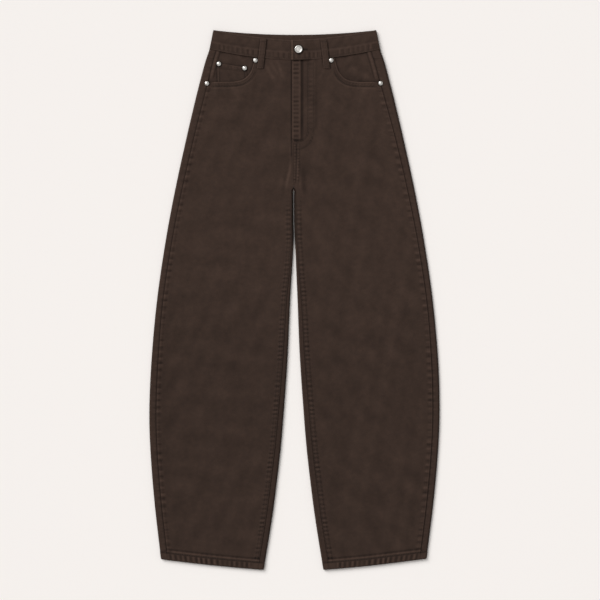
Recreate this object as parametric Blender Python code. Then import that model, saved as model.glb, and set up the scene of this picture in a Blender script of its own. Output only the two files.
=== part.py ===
"""Barrel leg trousers laid flat, face up.

X runs across the garment (the wearer's left leg at +X), Y runs up to the waist, Z up from the
surface that the trousers lie on. Sizes are in millimetres and become metres in makeObject.
"""
import math

import bmesh
import bpy
from mathutils import Vector

for item in list(bpy.data.objects):
    bpy.data.objects.remove(item, do_unlink=True)

# Driving sizes, mm
metresPerMm = 0.001
clothWall = 1.2
facingWall = 1.0
bandWall = 2.4
loopWall = 1.3
seamGap = 0.3
crotchHeight = 218.0
centreSeamHalf = seamGap / 2

hemBandHeight = 15.5
hemRaise = 0.8
inseamFellWidth = 10.0
inseamFellRaise = 0.8
outseamRidgeWidth = 7.0
outseamRidgeRaise = 0.6
flyTop = 463.0
flyBottom = 307.0
flyRaise = 1.2
flyFacingWidth = 36.0
flyRidgeWidth = 14.0
flyFoot = (304.0, 309.0)
legSag = 1.0
sagEdgeShare = 0.22
legToHip = (200.0, 400.0)
waistLiftRows = (425.0, 452.0)
riseSeamX = -2.9
flySeamX = -4.95
crotchBlend = 7.0
fellRows = (150.0, 210.0)
ridgeEdge = 2.5
hemCurve = {"inner": 67.0, "height": -520.25, "slope": 0.077, "bend": 0.000148}
hemBlendTop = -330.0
leftHemLift = {"rise": 0.9, "rows": (400.0, 500.0), "across": (120.0, 230.0)}
centreShift = 0.75
frontBlend = (230.0, 390.0)
mouthBlendFoot = 300.0
yokeBlendFoot = 230.0

frontBandCentre = 463.0
frontBandRise = 0.00216
backBandCentre = 474.0
backBandRise = 0.00104
bandSeamCurve = 1.8
frontTopCentre = 501.5
backTopCentre = 512.0
topCorner = 521.0
topHalfWidth = 157.5
bandRidgeShare = 0.38
bandRidgeRaise = 0.8
bandOverlapRaise = 2.7
bandOverEnd = -6.4
bandUnderEnd = 14.0
bandOverlapRamp = (16.0, 38.0)

yokeCentre = 412.0
yokeSide = 466.0

facingInner = 58.0
facingBottom = 396.0
facingDrop = 1.5
facingDropAtSeam = 0.5
facingRiseRows = (427.0, 437.0)
coinPocketLift = clothWall + 0.4

coinCoverSpan = (83.0, 150.0)
coinCoverRows = (401.0, 438.0)

pocketLiftHeight = 1.5
pocketLiftSpan = (14.0, 172.0)
pocketLiftRows = (228.0, 410.0)
pocketLiftRamp = 13.0

rivetRadius = 4.1
rivetHeight = 1.8
buttonRadius = 7.6
buttonHeight = 2.6

# Outer fold of each leg. Columns: height, half width of the garment
outerFold = [
    (-521.0, 253.5),
    (-482.5, 258.6),
    (-386.0, 269.9),
    (-289.5, 277.9),
    (-212.3, 280.3),
    (-115.8, 276.8),
    (0.0, 266.2),
    (115.8, 249.3),
    (212.3, 231.3),
    (308.8, 210.3),
    (386.0, 192.2),
    (424.6, 182.4),
    (463.2, 171.8),
    (482.5, 165.3),
    (501.8, 161.2),
    (521.0, 157.5),
]

# Inner fold of each leg. Columns: height, distance from the centre line
innerFold = [
    (-521.0, 57.5),
    (-463.0, 47.8),
    (-405.0, 39.0),
    (-347.0, 31.6),
    (-290.0, 25.1),
    (-232.0, 20.1),
    (-116.0, 11.9),
    (0.0, 6.8),
    (58.0, 3.9),
    (90.0, 2.5),
    (115.0, 1.0),
    (140.0, 0.7),
    (218.0, 0.7),
    (521.0, 0.7),
]

# How far the legs lean to -X. Columns: height, right inner fold, left inner fold, outer folds
legLean = [
    (-521.0, 2.9, 2.2, 2.2),
    (-405.0, 2.8, 2.2, 1.75),
    (-309.0, 2.7, 2.1, 1.25),
    (-212.0, 2.6, 2.0, 0.75),
    (-130.0, 2.5, 1.9, 0.1),
    (-68.0, 2.5, 1.9, 0.0),
    (29.0, 2.1, 1.4, 0.0),
    (77.0, 1.2, 1.1, 0.0),
    (115.0, 1.2, 1.2, 0.0),
    (150.0, 2.1, 2.1, 0.0),
    (218.0, 2.1, 2.1, 0.0),
    (232.0, 1.2, 1.2, 0.0),
    (247.0, 0.3, 0.3, 0.0),
    (262.0, 0.0, 0.0, 0.0),
    (300.0, 0.0, 0.0, 0.0),
    (521.0, 0.0, 0.0, 0.0),
]

# Height of the side folds above the surface. Columns: height along the garment, fold height
foldHeight = [
    (-521.0, 5.2),
    (200.0, 5.2),
    (420.0, 6.9),
    (521.0, 6.9),
]

# Inseam on the front, from the inner fold. Columns: height, distance
inseamInset = [
    (-521.0, 11.5),
    (-347.0, 11.5),
    (-232.0, 10.5),
    (-116.0, 9.0),
    (0.0, 7.0),
    (58.0, 4.8),
    (120.0, 3.8),
    (521.0, 3.8),
]

# Outseam on the front, from the outer fold. Columns: height, right leg, left leg
outseamInset = [
    (-521.0, 13.0, 13.0),
    (-125.0, 12.9, 12.9),
    (0.0, 11.5, 11.5),
    (300.0, 14.0, 15.0),
    (420.0, 15.5, 19.0),
    (521.0, 12.0, 19.0),
]

# Curved mouth of the front pockets. Columns: distance from the centre line, height
pocketMouth = [
    (76.0, 468.0),
    (79.0, 458.6),
    (84.0, 442.3),
    (96.5, 427.5),
    (114.0, 421.8),
    (137.0, 420.7),
    (190.0, 420.7),
]

# Soft folds of the fronts. Columns: side, top, distance there, bottom, distance there, half width, height
softFolds = [
    ("R", 60.0, 132.0, -430.0, 142.0, 42.0, 1.3),
    ("R", 150.0, 60.0, -60.0, 48.0, 30.0, -0.5),
    ("R", -40.0, 84.0, -400.0, 92.0, 34.0, -0.6),
    ("L", -20.0, 186.0, -400.0, 184.0, 38.0, 1.1),
    ("L", -60.0, 112.0, -440.0, 118.0, 46.0, -0.7),
    ("L", 330.0, 24.0, 90.0, 30.0, 20.0, -0.6),
]

# Fronts. Columns: height of each row on the centre line, from the waist to the hem
frontRows = [
    463.0, 459.0, 452.0, 443.0, 432.0, 418.0, 400.0, 380.0, 356.0, 332.0, 311.0, 303.0, 280.0,
    256.0, 236.0, 224.0, 218.0, 214.0, 209.0, 203.0, 190.0, 165.0, 138.0, 110.0, 80.0, 48.0,
    14.0, -22.0, -60.0, -98.0, -138.0, -178.0, -220.0, -262.0, -304.0, -346.0, -386.0, -424.0,
    -460.0, -488.0, -505.5, -507.5, -521.0,
]
# Distances of the fronts' columns from the centre line at the waist, as far as the outseam
frontWaistColumns = [9.0, 20.0, 32.0, 44.0, 56.0, 67.0, 76.0, 79.5, 84.5, 92.0, 103.0, 125.0, 150.0]

# Backs. Columns: height of each row at the outer fold, from the yoke to the hem
backRows = [
    466.0, 448.0, 428.0, 408.0, 388.0, 360.0, 330.0, 300.0, 275.0, 255.0, 238.0, 227.0, 221.0,
    218.0, 215.0, 211.0, 207.0, 203.0, 198.0, 188.0, 165.0, 138.0, 110.0, 75.0, 35.0, -10.0,
    -60.0, -110.0, -160.0, -210.0, -260.0, -310.0, -360.0, -410.0, -455.0, -490.0, -521.0,
]
crotchTurnStart = 220.0
crotchTurnEnd = 202.0
stripBendColumns = 6
stripLipColumns = 2
stripBendShare = 0.6

# Patch pockets on the backs. Columns: distance from the centre line, height
backPocketCorners = [
    (28.0, 384.0),
    (158.0, 396.0),
    (148.0, 264.0),
    (95.0, 242.0),
    (37.0, 258.0),
]

# Belt loops. Columns: place, x at the top, top, x at the bottom, bottom, width
beltLoops = [
    ("front", -60.4, 503.2, -66.8, 446.4, 11.8),
    ("front", 55.4, 503.2, 61.9, 446.4, 11.8),
    ("back", -105.0, 513.0, -110.0, 457.0, 11.8),
    ("back", 0.0, 509.5, 0.0, 457.0, 11.8),
    ("back", 105.0, 513.0, 110.0, 457.0, 11.8),
]

# Rivets. Columns: x, height, what it sits on
rivets = [
    (-76.0, 462.3, "front"),
    (70.4, 462.3, "front"),
    (-169.5, 417.7, "front"),
    (165.6, 418.0, "front"),
    (-146.5, 455.5, "coin"),
    (-96.7, 447.2, "coin"),
]

# Colours, linear
twillColour = (0.045, 0.028, 0.022, 1.0)
facingColour = (0.037, 0.024, 0.019, 1.0)
metalColour = (0.62, 0.60, 0.57, 1.0)


def clamp(value, low, high):
    return max(low, min(high, value))


def smooth(value, start, end):
    """0 before start, 1 after end, an even curve between them."""
    share = clamp((value - start) / (end - start), 0.0, 1.0)
    return share * share * (3.0 - 2.0 * share)


def mix(first, second, share):
    return first + (second - first) * share


def readTable(table, place, column=1):
    """Read a table at a place by a smooth curve through its rows."""
    count = len(table)
    index = 0
    while index < count - 2 and place > table[index + 1][0]:
        index += 1
    x0 = table[index][0]
    x1 = table[index + 1][0]
    y0 = table[index][column]
    y1 = table[index + 1][column]
    slope = (y1 - y0) / (x1 - x0)
    before = slope
    after = slope
    if index > 0:
        before = (y1 - table[index - 1][column]) / (x1 - table[index - 1][0])
    if index < count - 2:
        after = (table[index + 2][column] - y0) / (table[index + 2][0] - x0)
    width = x1 - x0
    share = clamp((place - x0) / width, 0.0, 1.0)
    square = share * share
    cube = square * share
    return ((2 * cube - 3 * square + 1) * y0 + (cube - 2 * square + share) * width * before
            + (3 * square - 2 * cube) * y1 + (cube - square) * width * after)


def outerEdge(y):
    return readTable(outerFold, y)


def innerEdge(y):
    return readTable(innerFold, y)


def topLevel(y):
    return readTable(foldHeight, y)


def waistLift(y):
    """The waist is held up by the belt loops behind it."""
    return (loopWall + seamGap) * smooth(y, *waistLiftRows)


def foldRadius(y):
    return (topLevel(y) - waistLift(y)) / 2


def outseamDistance(y, side):
    return readTable(outseamInset, y, 1 if side == "R" else 2)


def hemLine(u):
    """Slanted hem, lower at the inseam, slightly bowed."""
    across = u - hemCurve["inner"]
    return hemCurve["height"] + hemCurve["slope"] * across + hemCurve["bend"] * across * abs(across)


def frontBandSeam(u):
    return frontBandCentre + frontBandRise * abs(u) ** bandSeamCurve


def backBandSeam(u):
    return backBandCentre + backBandRise * abs(u) ** bandSeamCurve


def frontBandTop(u):
    drop = topCorner - frontTopCentre
    return frontTopCentre + drop * (min(abs(u), topHalfWidth) / topHalfWidth) ** 1.5


def backBandTop(u):
    drop = topCorner - backTopCentre
    return backTopCentre + drop * (min(abs(u), topHalfWidth) / topHalfWidth) ** 2


def yokeSeam(u):
    return mix(yokeCentre, yokeSide, clamp(abs(u) / outerEdge(yokeSide), 0.0, 1.0))


def foldRelief(u, y, side):
    """Soft folds of the fronts at one point."""
    relief = 0.0
    for row in softFolds:
        foldSide, top, topPlace, bottom, bottomPlace, width, height = row
        if foldSide != side or not bottom < y < top:
            continue
        along = (top - y) / (top - bottom)
        away = (u - mix(topPlace, bottomPlace, along)) / width
        relief += height * math.sin(math.pi * along) ** 2 / (1.0 + 2.0 * away * away)
    return relief


def frontStart(y, side):
    """Distance of a front's inner edge from the centre line."""
    seamX = mix(riseSeamX, flySeamX, smooth(y, flyBottom - 4.0, flyBottom))
    seamX *= smooth(y, crotchHeight, flyBottom - 60.0)
    above = centreSeamHalf + (seamX if side == "L" else -seamX)
    below = innerEdge(y) + readTable(inseamInset, y) + centreSeamHalf
    return mix(below, above, smooth(y, crotchHeight - crotchBlend, crotchHeight))


def frontEnd(y, side):
    return outerEdge(y) - outseamDistance(y, side) - centreSeamHalf


def nearSeam(distance, width):
    """1 on the raised strip beside a seam, falling to 0 past its width."""
    return 1.0 - smooth(distance, width - ridgeEdge, width)


def topHeight(u, y, side):
    """Height of the outer face on top of the leg, at distance u from the centre line."""
    level = topLevel(y)
    start = innerEdge(y) + readTable(inseamInset, y)
    end = outerEdge(y) - outseamDistance(y, side)
    across = clamp((u - start) / (end - start), 0.0, 1.0)
    onLeg = 1.0 - smooth(y, *legToHip)
    inside = smooth(across, 0.0, sagEdgeShare) * (1.0 - smooth(across, 1.0 - sagEdgeShare, 1.0))
    level += inside * (foldRelief(u, y, side) - legSag * onLeg)
    onInseam = 1.0 - smooth(y, *fellRows)
    if u > start:
        level += inseamFellRaise * onInseam * nearSeam(u - start, inseamFellWidth)
    if u < end:
        level += outseamRidgeRaise * nearSeam(end - u, outseamRidgeWidth)
    level += hemRaise * nearSeam(y - hemLine(u), hemBandHeight)
    if side == "L":
        onFly = smooth(y, *flyFoot) * (1.0 - smooth(u, flyRidgeWidth, flyFacingWidth))
        level += flyRaise * onFly
    if side == "R":
        level += coinPocketLift * coinCover(u, y)
    return level


def coinCover(u, y):
    """The front rises over the part of the coin pocket that it hides."""
    inner, outer = coinCoverSpan
    foot, top = coinCoverRows
    across = smooth(u, inner - 11.0, inner) * (1.0 - smooth(u, outer, outer + 8.0))
    return across * smooth(y, foot - 15.0, foot) * (1.0 - smooth(y, top, top + 8.0))


def undersideHeight(u, y):
    """Height of the outer face on the back: flat, lifted over the patch pockets."""
    low, high = pocketLiftSpan
    bottom, top = pocketLiftRows
    ramp = pocketLiftRamp
    across = smooth(u, low - ramp, low) * (1.0 - smooth(u, high, high + ramp))
    along = smooth(y, bottom - ramp, bottom) * (1.0 - smooth(y, top, top + ramp))
    return waistLift(y) + pocketLiftHeight * across * along


def facingTop(u, y, side):
    level = topLevel(y)
    seam = outerEdge(y) - outseamDistance(y, side)
    rising = smooth(u, seam - 14.0, seam - 3.0) * smooth(y, *facingRiseRows)
    return level - mix(facingDrop, facingDropAtSeam, rising)


def makeMaterial(name, colour, roughness, metallic):
    material = bpy.data.materials.new(name)
    material.use_nodes = True
    shader = material.node_tree.nodes["Principled BSDF"]
    shader.inputs["Base Color"].default_value = colour
    shader.inputs["Roughness"].default_value = roughness
    shader.inputs["Metallic"].default_value = metallic
    material.diffuse_color = colour
    return material


def leant(point):
    """The legs lean a little to -X and the left hem rises at its outer corner."""
    x, y, z = point
    near = readTable(legLean, y, 1 if x < 0.0 else 2)
    lean = mix(near, readTable(legLean, y, 3), clamp(abs(x) / outerEdge(y), 0.0, 1.0))
    rise = leftHemLift["rise"] * smooth(-y, *leftHemLift["rows"]) * smooth(x, *leftHemLift["across"])
    return x - lean + centreShift, y + rise, z


def makeObject(name, vertices, faces, material, smoothShade=True):
    """Turn points in mm and faces into a closed mesh object in metres."""
    mesh = bpy.data.meshes.new(name)
    mesh.from_pydata([Vector(leant(point)) * metresPerMm for point in vertices], [], faces)
    work = bmesh.new()
    work.from_mesh(mesh)
    bmesh.ops.recalc_face_normals(work, faces=work.faces)
    work.to_mesh(mesh)
    work.free()
    if smoothShade:
        mesh.shade_smooth()
        mesh.set_sharp_from_angle(angle=math.radians(40.0))
    obj = bpy.data.objects.new(name, mesh)
    bpy.context.scene.collection.objects.link(obj)
    mesh.materials.append(material)
    return obj


def clothPiece(name, outer, inner, material):
    """Close two grids of points, the outer and the inner face, into one cloth wall."""
    rowCount = len(outer)
    columnCount = len(outer[0])
    size = rowCount * columnCount
    vertices = [point for row in outer for point in row]
    vertices += [point for row in inner for point in row]

    def at(row, column, layer):
        return layer * size + row * columnCount + column

    faces = []
    for row in range(rowCount - 1):
        for column in range(columnCount - 1):
            faces.append((at(row, column, 0), at(row, column + 1, 0),
                          at(row + 1, column + 1, 0), at(row + 1, column, 0)))
            faces.append((at(row, column, 1), at(row + 1, column, 1),
                          at(row + 1, column + 1, 1), at(row, column + 1, 1)))
    for column in range(columnCount - 1):
        for row in (0, rowCount - 1):
            faces.append((at(row, column, 0), at(row, column + 1, 0),
                          at(row, column + 1, 1), at(row, column, 1)))
    for row in range(rowCount - 1):
        for column in (0, columnCount - 1):
            faces.append((at(row, column, 0), at(row + 1, column, 0),
                          at(row + 1, column, 1), at(row, column, 1)))
    return makeObject(name, vertices, faces, material)


def signOf(side):
    """The wearer's right leg lies at -X."""
    return -1.0 if side == "R" else 1.0


def frontTopEdge(u):
    if u < pocketMouth[0][0]:
        return frontBandSeam(u) - seamGap / 2
    return readTable(pocketMouth, u)


def frontColumnPlace(column, y, side):
    """Distance of one column of a front from the centre line at height y."""
    start = frontStart(y, side)
    end = frontEnd(y, side)
    legColumns = [0.0, inseamFellWidth - ridgeEdge, inseamFellWidth]
    sideColumns = [outseamRidgeWidth, outseamRidgeWidth - ridgeEdge, 0.0]
    waistCount = len(frontWaistColumns)
    lastColumn = waistCount + len(sideColumns)
    if column > waistCount:
        return end - sideColumns[column - waistCount - 1]
    if column < len(legColumns):
        onLeg = start + legColumns[column]
    else:
        first = start + legColumns[-1]
        last = end - sideColumns[0]
        share = (column - len(legColumns) + 1) / (lastColumn - len(sideColumns) + 1 - len(legColumns) + 1)
        onLeg = mix(first, last, share)
    atWaist = start if column == 0 else frontWaistColumns[column - 1]
    return mix(onLeg, atWaist, smooth(y, *frontBlend))


def frontRowHeight(rowHeight, u, yTopEdge):
    """Rows follow the pocket mouth and waist at the top and the hem at the bottom."""
    topShare = smooth(rowHeight, mouthBlendFoot, flyTop)
    bottomShare = 1.0 - smooth(rowHeight, frontRows[-1], hemBlendTop)
    return rowHeight + (yTopEdge - flyTop) * topShare + (hemLine(u) - frontRows[-1]) * bottomShare


def buildFront(side, material):
    outer = []
    inner = []
    columnCount = len(frontWaistColumns) + 4
    for rowHeight in frontRows:
        outerRow = []
        innerRow = []
        for column in range(columnCount):
            y = rowHeight
            for _ in range(4):
                u = frontColumnPlace(column, y, side)
                y = frontRowHeight(rowHeight, u, frontTopEdge(u))
            z = topHeight(u, y, side)
            outerRow.append((signOf(side) * u, y, z))
            innerRow.append((signOf(side) * u, y, z - clothWall))
        outer.append(outerRow)
        inner.append(innerRow)
    return clothPiece("front_panel_" + side, outer, inner, material)


def outerFoldColumns(inset, y, side, lipColumns, rollColumns):
    """Points from the outseam over the outer fold to the flat underside, as (u, z)."""
    radius = foldRadius(y)
    edge = outerEdge(y)
    centre = waistLift(y) + radius
    lipEnd = outseamDistance(y, side) - seamGap / 2
    points = []
    for column in range(lipColumns):
        distance = mix(lipEnd, radius, column / lipColumns)
        u = edge - distance
        points.append((u, topHeight(u, y, side) - inset))
    for column in range(rollColumns):
        turn = math.pi / 2 - math.pi * column / (rollColumns - 1)
        reach = radius - inset
        points.append((edge - radius + reach * math.cos(turn), centre + reach * math.sin(turn)))
    return points


def innerTurn(y):
    return math.pi * (1.0 - smooth(y, crotchTurnEnd, crotchTurnStart))


def innerFoldPoint(column, inset, y, side):
    """Point of the back's inner strip, flat above the crotch, curled over the leg below it."""
    radius = foldRadius(y)
    edge = innerEdge(y)
    turn = innerTurn(y)
    curled = turn / math.pi
    flatReach = edge + radius - centreSeamHalf
    fullReach = math.pi * radius + readTable(inseamInset, y) - radius - centreSeamHalf
    reach = mix(flatReach, fullReach, curled)
    if turn < math.pi / 2 - 0.05:
        limit = radius * turn + (edge + radius - radius * math.sin(turn) - centreSeamHalf) / math.cos(turn)
        reach = min(reach, limit)
    bendLength = min(mix(flatReach * stripBendShare, math.pi * radius, curled), reach)
    if column < stripBendColumns:
        along = bendLength * (column + 1) / stripBendColumns
    else:
        along = mix(bendLength, reach, (column - stripBendColumns + 1) / stripLipColumns)
    bend = min(along / radius, turn)
    rest = along - bend * radius
    r = radius - inset
    u = edge + radius - r * math.sin(bend) - rest * math.cos(bend)
    z = waistLift(y) + radius - r * math.cos(bend) + rest * math.sin(bend)
    if turn > math.pi - 0.001 and column >= stripBendColumns:
        z = topHeight(u, y, side) - inset
    return (u, z)


def backSection(inset, y, side, flatShares, stripColumns):
    """One row across a back: outseam lip, outer fold, underside and inner strip."""
    points = outerFoldColumns(inset, y, side, 2, 7)
    flatStart = outerEdge(y) - foldRadius(y)
    flatEnd = innerEdge(y) + foldRadius(y) if stripColumns else centreSeamHalf
    for share in flatShares:
        u = mix(flatStart, flatEnd, share)
        points.append((u, undersideHeight(u, y) + inset))
    for column in range(stripColumns):
        points.append(innerFoldPoint(column, inset, y, side))
    return points


def buildBack(side, material):
    flatShares = [0.05, 0.12, 0.19, 0.27, 0.35, 0.44, 0.53, 0.62, 0.71, 0.79, 0.87, 0.94, 1.0]
    stripColumns = stripBendColumns + stripLipColumns
    outer = []
    inner = []
    top = backRows[0]
    bottom = backRows[-1]
    for rowHeight in backRows:
        rows = []
        for inset in (0.0, clothWall):
            row = []
            columnCount = 9 + len(flatShares) + stripColumns
            for column in range(columnCount):
                y = rowHeight
                for _ in range(3):
                    u = backSection(0.0, y, side, flatShares, stripColumns)[column][0]
                    seam = yokeSide if column < 6 else yokeSeam(u)
                    topShare = smooth(rowHeight, yokeBlendFoot, top)
                    bottomShare = 1.0 - smooth(rowHeight, bottom, hemBlendTop)
                    y = rowHeight + (seam - seamGap / 2 - top) * topShare
                    y += (hemLine(u) - bottom) * bottomShare
                u, z = backSection(inset, y, side, flatShares, stripColumns)[column]
                row.append((signOf(side) * u, y, z))
            rows.append(row)
        outer.append(rows[0])
        inner.append(rows[1])
    return clothPiece("back_panel_" + side, outer, inner, material)


def buildYoke(side, material):
    flatShares = [0.08, 0.2, 0.35, 0.5, 0.65, 0.8, 1.0]
    rowShares = [0.0, 0.2, 0.4, 0.6, 0.8, 1.0]
    outer = []
    inner = []
    for rowShare in rowShares:
        rows = []
        for inset in (0.0, clothWall):
            row = []
            for column in range(9 + len(flatShares)):
                y = yokeSide
                for _ in range(4):
                    u = backSection(0.0, y, side, flatShares, 0)[column][0]
                    onTop = column < 6
                    low = yokeSide if onTop else yokeSeam(u)
                    high = frontBandSeam(u) if onTop else backBandSeam(u)
                    y = mix(high - seamGap / 2, low + seamGap / 2, rowShare)
                u, z = backSection(inset, y, side, flatShares, 0)[column]
                row.append((signOf(side) * u, y, z))
            rows.append(row)
        outer.append(rows[0])
        inner.append(rows[1])
    return clothPiece("yoke_" + side, outer, inner, material)


def buildBackPocket(side, material):
    """Flat patch with five corners under the back."""
    count = len(backPocketCorners)
    vertices = []
    for z in (0.0, clothWall):
        for u, y in backPocketCorners:
            vertices.append((signOf(side) * u, y, z))
    faces = [tuple(range(count)), tuple(range(count, 2 * count))]
    for corner in range(count):
        following = (corner + 1) % count
        faces.append((corner, following, following + count, corner + count))
    return makeObject("back_pocket_" + side, vertices, faces, material, smoothShade=False)


def buildFacing(side, material):
    """The cloth inside a pocket mouth, under the front and against the outseam."""
    columnShares = [0.0, 0.14, 0.28, 0.42, 0.56, 0.7, 0.82, 0.9, 0.96, 1.0]
    rowShares = [0.0, 0.12, 0.25, 0.38, 0.5, 0.58, 0.66, 0.8, 1.0]
    outer = []
    inner = []
    for rowShare in rowShares:
        outerRow = []
        innerRow = []
        for columnShare in columnShares:
            y = 440.0
            for _ in range(4):
                u = mix(facingInner, frontEnd(y, side), columnShare)
                y = mix(frontBandSeam(u) - seamGap / 2, facingBottom, rowShare)
            z = facingTop(u, y, side)
            outerRow.append((signOf(side) * u, y, z))
            innerRow.append((signOf(side) * u, y, z - facingWall))
        outer.append(outerRow)
        inner.append(innerRow)
    return clothPiece("pocket_facing_" + side, outer, inner, material)


def buildCoinPocket(material):
    """Small patch on the right facing, its foot just under the front."""
    corners = {"topOuter": (149.5, 457.5), "topInner": (93.5, 448.5),
               "bottomOuter": (149.0, 412.0), "bottomInner": (90.0, 412.0)}
    columns = 7
    rows = 5
    outer = []
    inner = []
    for row in range(rows):
        down = row / (rows - 1)
        outerRow = []
        innerRow = []
        for column in range(columns):
            across = column / (columns - 1)
            u = mix(mix(corners["topInner"][0], corners["topOuter"][0], across),
                    mix(corners["bottomInner"][0], corners["bottomOuter"][0], across), down)
            y = mix(mix(corners["topInner"][1], corners["topOuter"][1], across),
                    mix(corners["bottomInner"][1], corners["bottomOuter"][1], across), down)
            base = facingTop(u, y, "R") + seamGap
            outerRow.append((-u, y, base + clothWall))
            innerRow.append((-u, y, base))
        outer.append(outerRow)
        inner.append(innerRow)
    return clothPiece("coin_pocket", outer, inner, material)


def bandRoute():
    """Places along the waistband, from its hidden right end round to the left end on top."""
    route = []
    for x in (bandUnderEnd, -2.0, -18.0, -34.0, -50.0, -66.0, -82.0, -98.0, -114.0, -130.0, -146.0):
        route.append(("front", x))
    for turn in range(7):
        route.append(("rightFold", turn / 6))
    for x in (-140.0, -120.0, -95.0, -70.0, -45.0, -22.0, 0.0, 22.0, 45.0, 70.0, 95.0, 120.0, 140.0):
        route.append(("back", x))
    for turn in range(7):
        route.append(("leftFold", turn / 6))
    for x in (146.0, 130.0, 114.0, 98.0, 82.0, 66.0, 52.0, 38.0, 32.0, 27.0, 22.0, 16.0, 8.0, 0.0, bandOverEnd):
        route.append(("frontOver", x))
    return route


def bandFrontHeight(x, share, over):
    """Height of the waistband's outer face in front, share 0 at its seam and 1 at its top."""
    level = topLevel(topCorner)
    level += bandRidgeRaise * (1.0 - smooth(share, bandRidgeShare, bandRidgeShare + 0.06))
    if over:
        low, high = bandOverlapRamp
        level += (bandOverlapRaise + bandRidgeRaise) * (1.0 - smooth(x, low, high))
    return level


def buildWaistband(material):
    rowShares = [0.0, bandRidgeShare, bandRidgeShare + 0.06, 0.75, 1.0]
    outer = []
    inner = []
    for share in rowShares:
        outerRow = []
        innerRow = []
        for kind, value in bandRoute():
            pair = []
            for inset in (0.0, bandWall):
                if kind in ("front", "frontOver"):
                    y = mix(frontBandSeam(value) + seamGap / 2, frontBandTop(value), share)
                    ridge = bandRidgeRaise * (1.0 - smooth(share, bandRidgeShare, bandRidgeShare + 0.06))
                    z = bandFrontHeight(value, share, kind == "frontOver")
                    if inset > 0.0:
                        z -= inset + ridge
                    pair.append((value, y, z))
                elif kind == "back":
                    y = mix(backBandSeam(value) + seamGap / 2, backBandTop(value), share)
                    pair.append((value, y, waistLift(y) + inset))
                else:
                    sideSign = -1.0 if kind == "rightFold" else 1.0
                    over = value if kind == "rightFold" else 1.0 - value
                    turn = math.pi / 2 - math.pi * over
                    y = topCorner
                    for _ in range(4):
                        radius = foldRadius(y)
                        u = outerEdge(y) - radius * (1.0 - math.cos(turn))
                        if turn > 0.001:
                            y = mix(frontBandSeam(u) + seamGap / 2, frontBandTop(u), share)
                        else:
                            y = mix(backBandSeam(u) + seamGap / 2, backBandTop(u), share)
                    reach = radius - inset
                    u = outerEdge(y) - radius + reach * math.cos(turn)
                    z = waistLift(y) + radius + reach * math.sin(turn)
                    pair.append((sideSign * u, y, z))
            outerRow.append(pair[0])
            innerRow.append(pair[1])
        outer.append(outerRow)
        inner.append(innerRow)
    return clothPiece("waistband", outer, inner, material)


def buildBeltLoop(number, row, material):
    place, topX, top, bottomX, bottom, width = row
    shares = [0.0, 0.06, 0.35, 0.42, 0.6, 0.72, 0.8, 0.94, 1.0]
    outer = []
    inner = []
    for share in shares:
        x = mix(topX, bottomX, share)
        y = mix(top, bottom, share)
        if place == "front":
            ridgeTop = topLevel(topCorner) + bandRidgeRaise
            low = topLevel(topCorner) + seamGap
            onRidge = smooth(share, 0.28, 0.4) * (1.0 - smooth(share, 0.74, 0.86))
            low = mix(low, ridgeTop + seamGap, onRidge)
            if share > 0.9:
                low = topLevel(bottom) + seamGap
            high = low + loopWall
        else:
            low = loopWall
            high = 0.0
        outer.append([(x - width / 2, y, high), (x, y, high), (x + width / 2, y, high)])
        inner.append([(x - width / 2, y, low), (x, y, low), (x + width / 2, y, low)])
    return clothPiece("belt_loop_%d" % number, outer, inner, material)


def turnedPiece(name, centre, profile, sides, material):
    """Round metal piece from a profile of (radius, height), closed at the axis."""
    x, y, base = centre
    vertices = [(x, y, base + profile[0][1])]
    for radius, height in profile:
        for step in range(sides):
            angle = 2.0 * math.pi * step / sides
            vertices.append((x + radius * math.cos(angle), y + radius * math.sin(angle), base + height))
    vertices.append((x, y, base + profile[-1][1]))
    faces = []
    for step in range(sides):
        following = (step + 1) % sides
        faces.append((0, 1 + following, 1 + step))
        for ring in range(len(profile) - 1):
            low = 1 + ring * sides
            high = low + sides
            faces.append((low + step, low + following, high + following, high + step))
        last = 1 + (len(profile) - 1) * sides
        faces.append((len(vertices) - 1, last + step, last + following))
    return makeObject(name, vertices, faces, material)


def seatUnder(x, y, radius, place):
    """Lowest height at which a round piece clears the cloth under it."""
    side = "R" if x < 0.0 else "L"
    highest = 0.0
    for step in range(12):
        angle = 2.0 * math.pi * step / 12
        for reach in (0.0, 0.6, 1.0):
            u = abs(x + reach * radius * math.cos(angle))
            v = y + reach * radius * math.sin(angle)
            if place == "coin":
                level = facingTop(u, v, side) + seamGap + clothWall
            else:
                level = topHeight(u, v, side)
            highest = max(highest, level)
    return highest + seamGap


def buildRivet(number, row, material):
    x, y, place = row
    profile = [(rivetRadius, 0.0), (rivetRadius, 0.5), (rivetRadius * 0.82, 1.2),
               (rivetRadius * 0.45, rivetHeight)]
    centre = (x, y, seatUnder(x, y, rivetRadius, place))
    return turnedPiece("rivet_%d" % number, centre, profile, 14, material)


def buildButton(material):
    x = 7.3
    y = 483.0
    profile = [(buttonRadius, 0.0), (buttonRadius, 1.4), (buttonRadius - 0.5, 2.3),
               (buttonRadius - 1.2, buttonHeight), (buttonRadius - 1.9, 2.3), (buttonRadius - 2.3, 1.8)]
    top = bandFrontHeight(x, 0.0, True)
    return turnedPiece("button", (x, y, top + seamGap), profile, 28, material)


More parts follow.
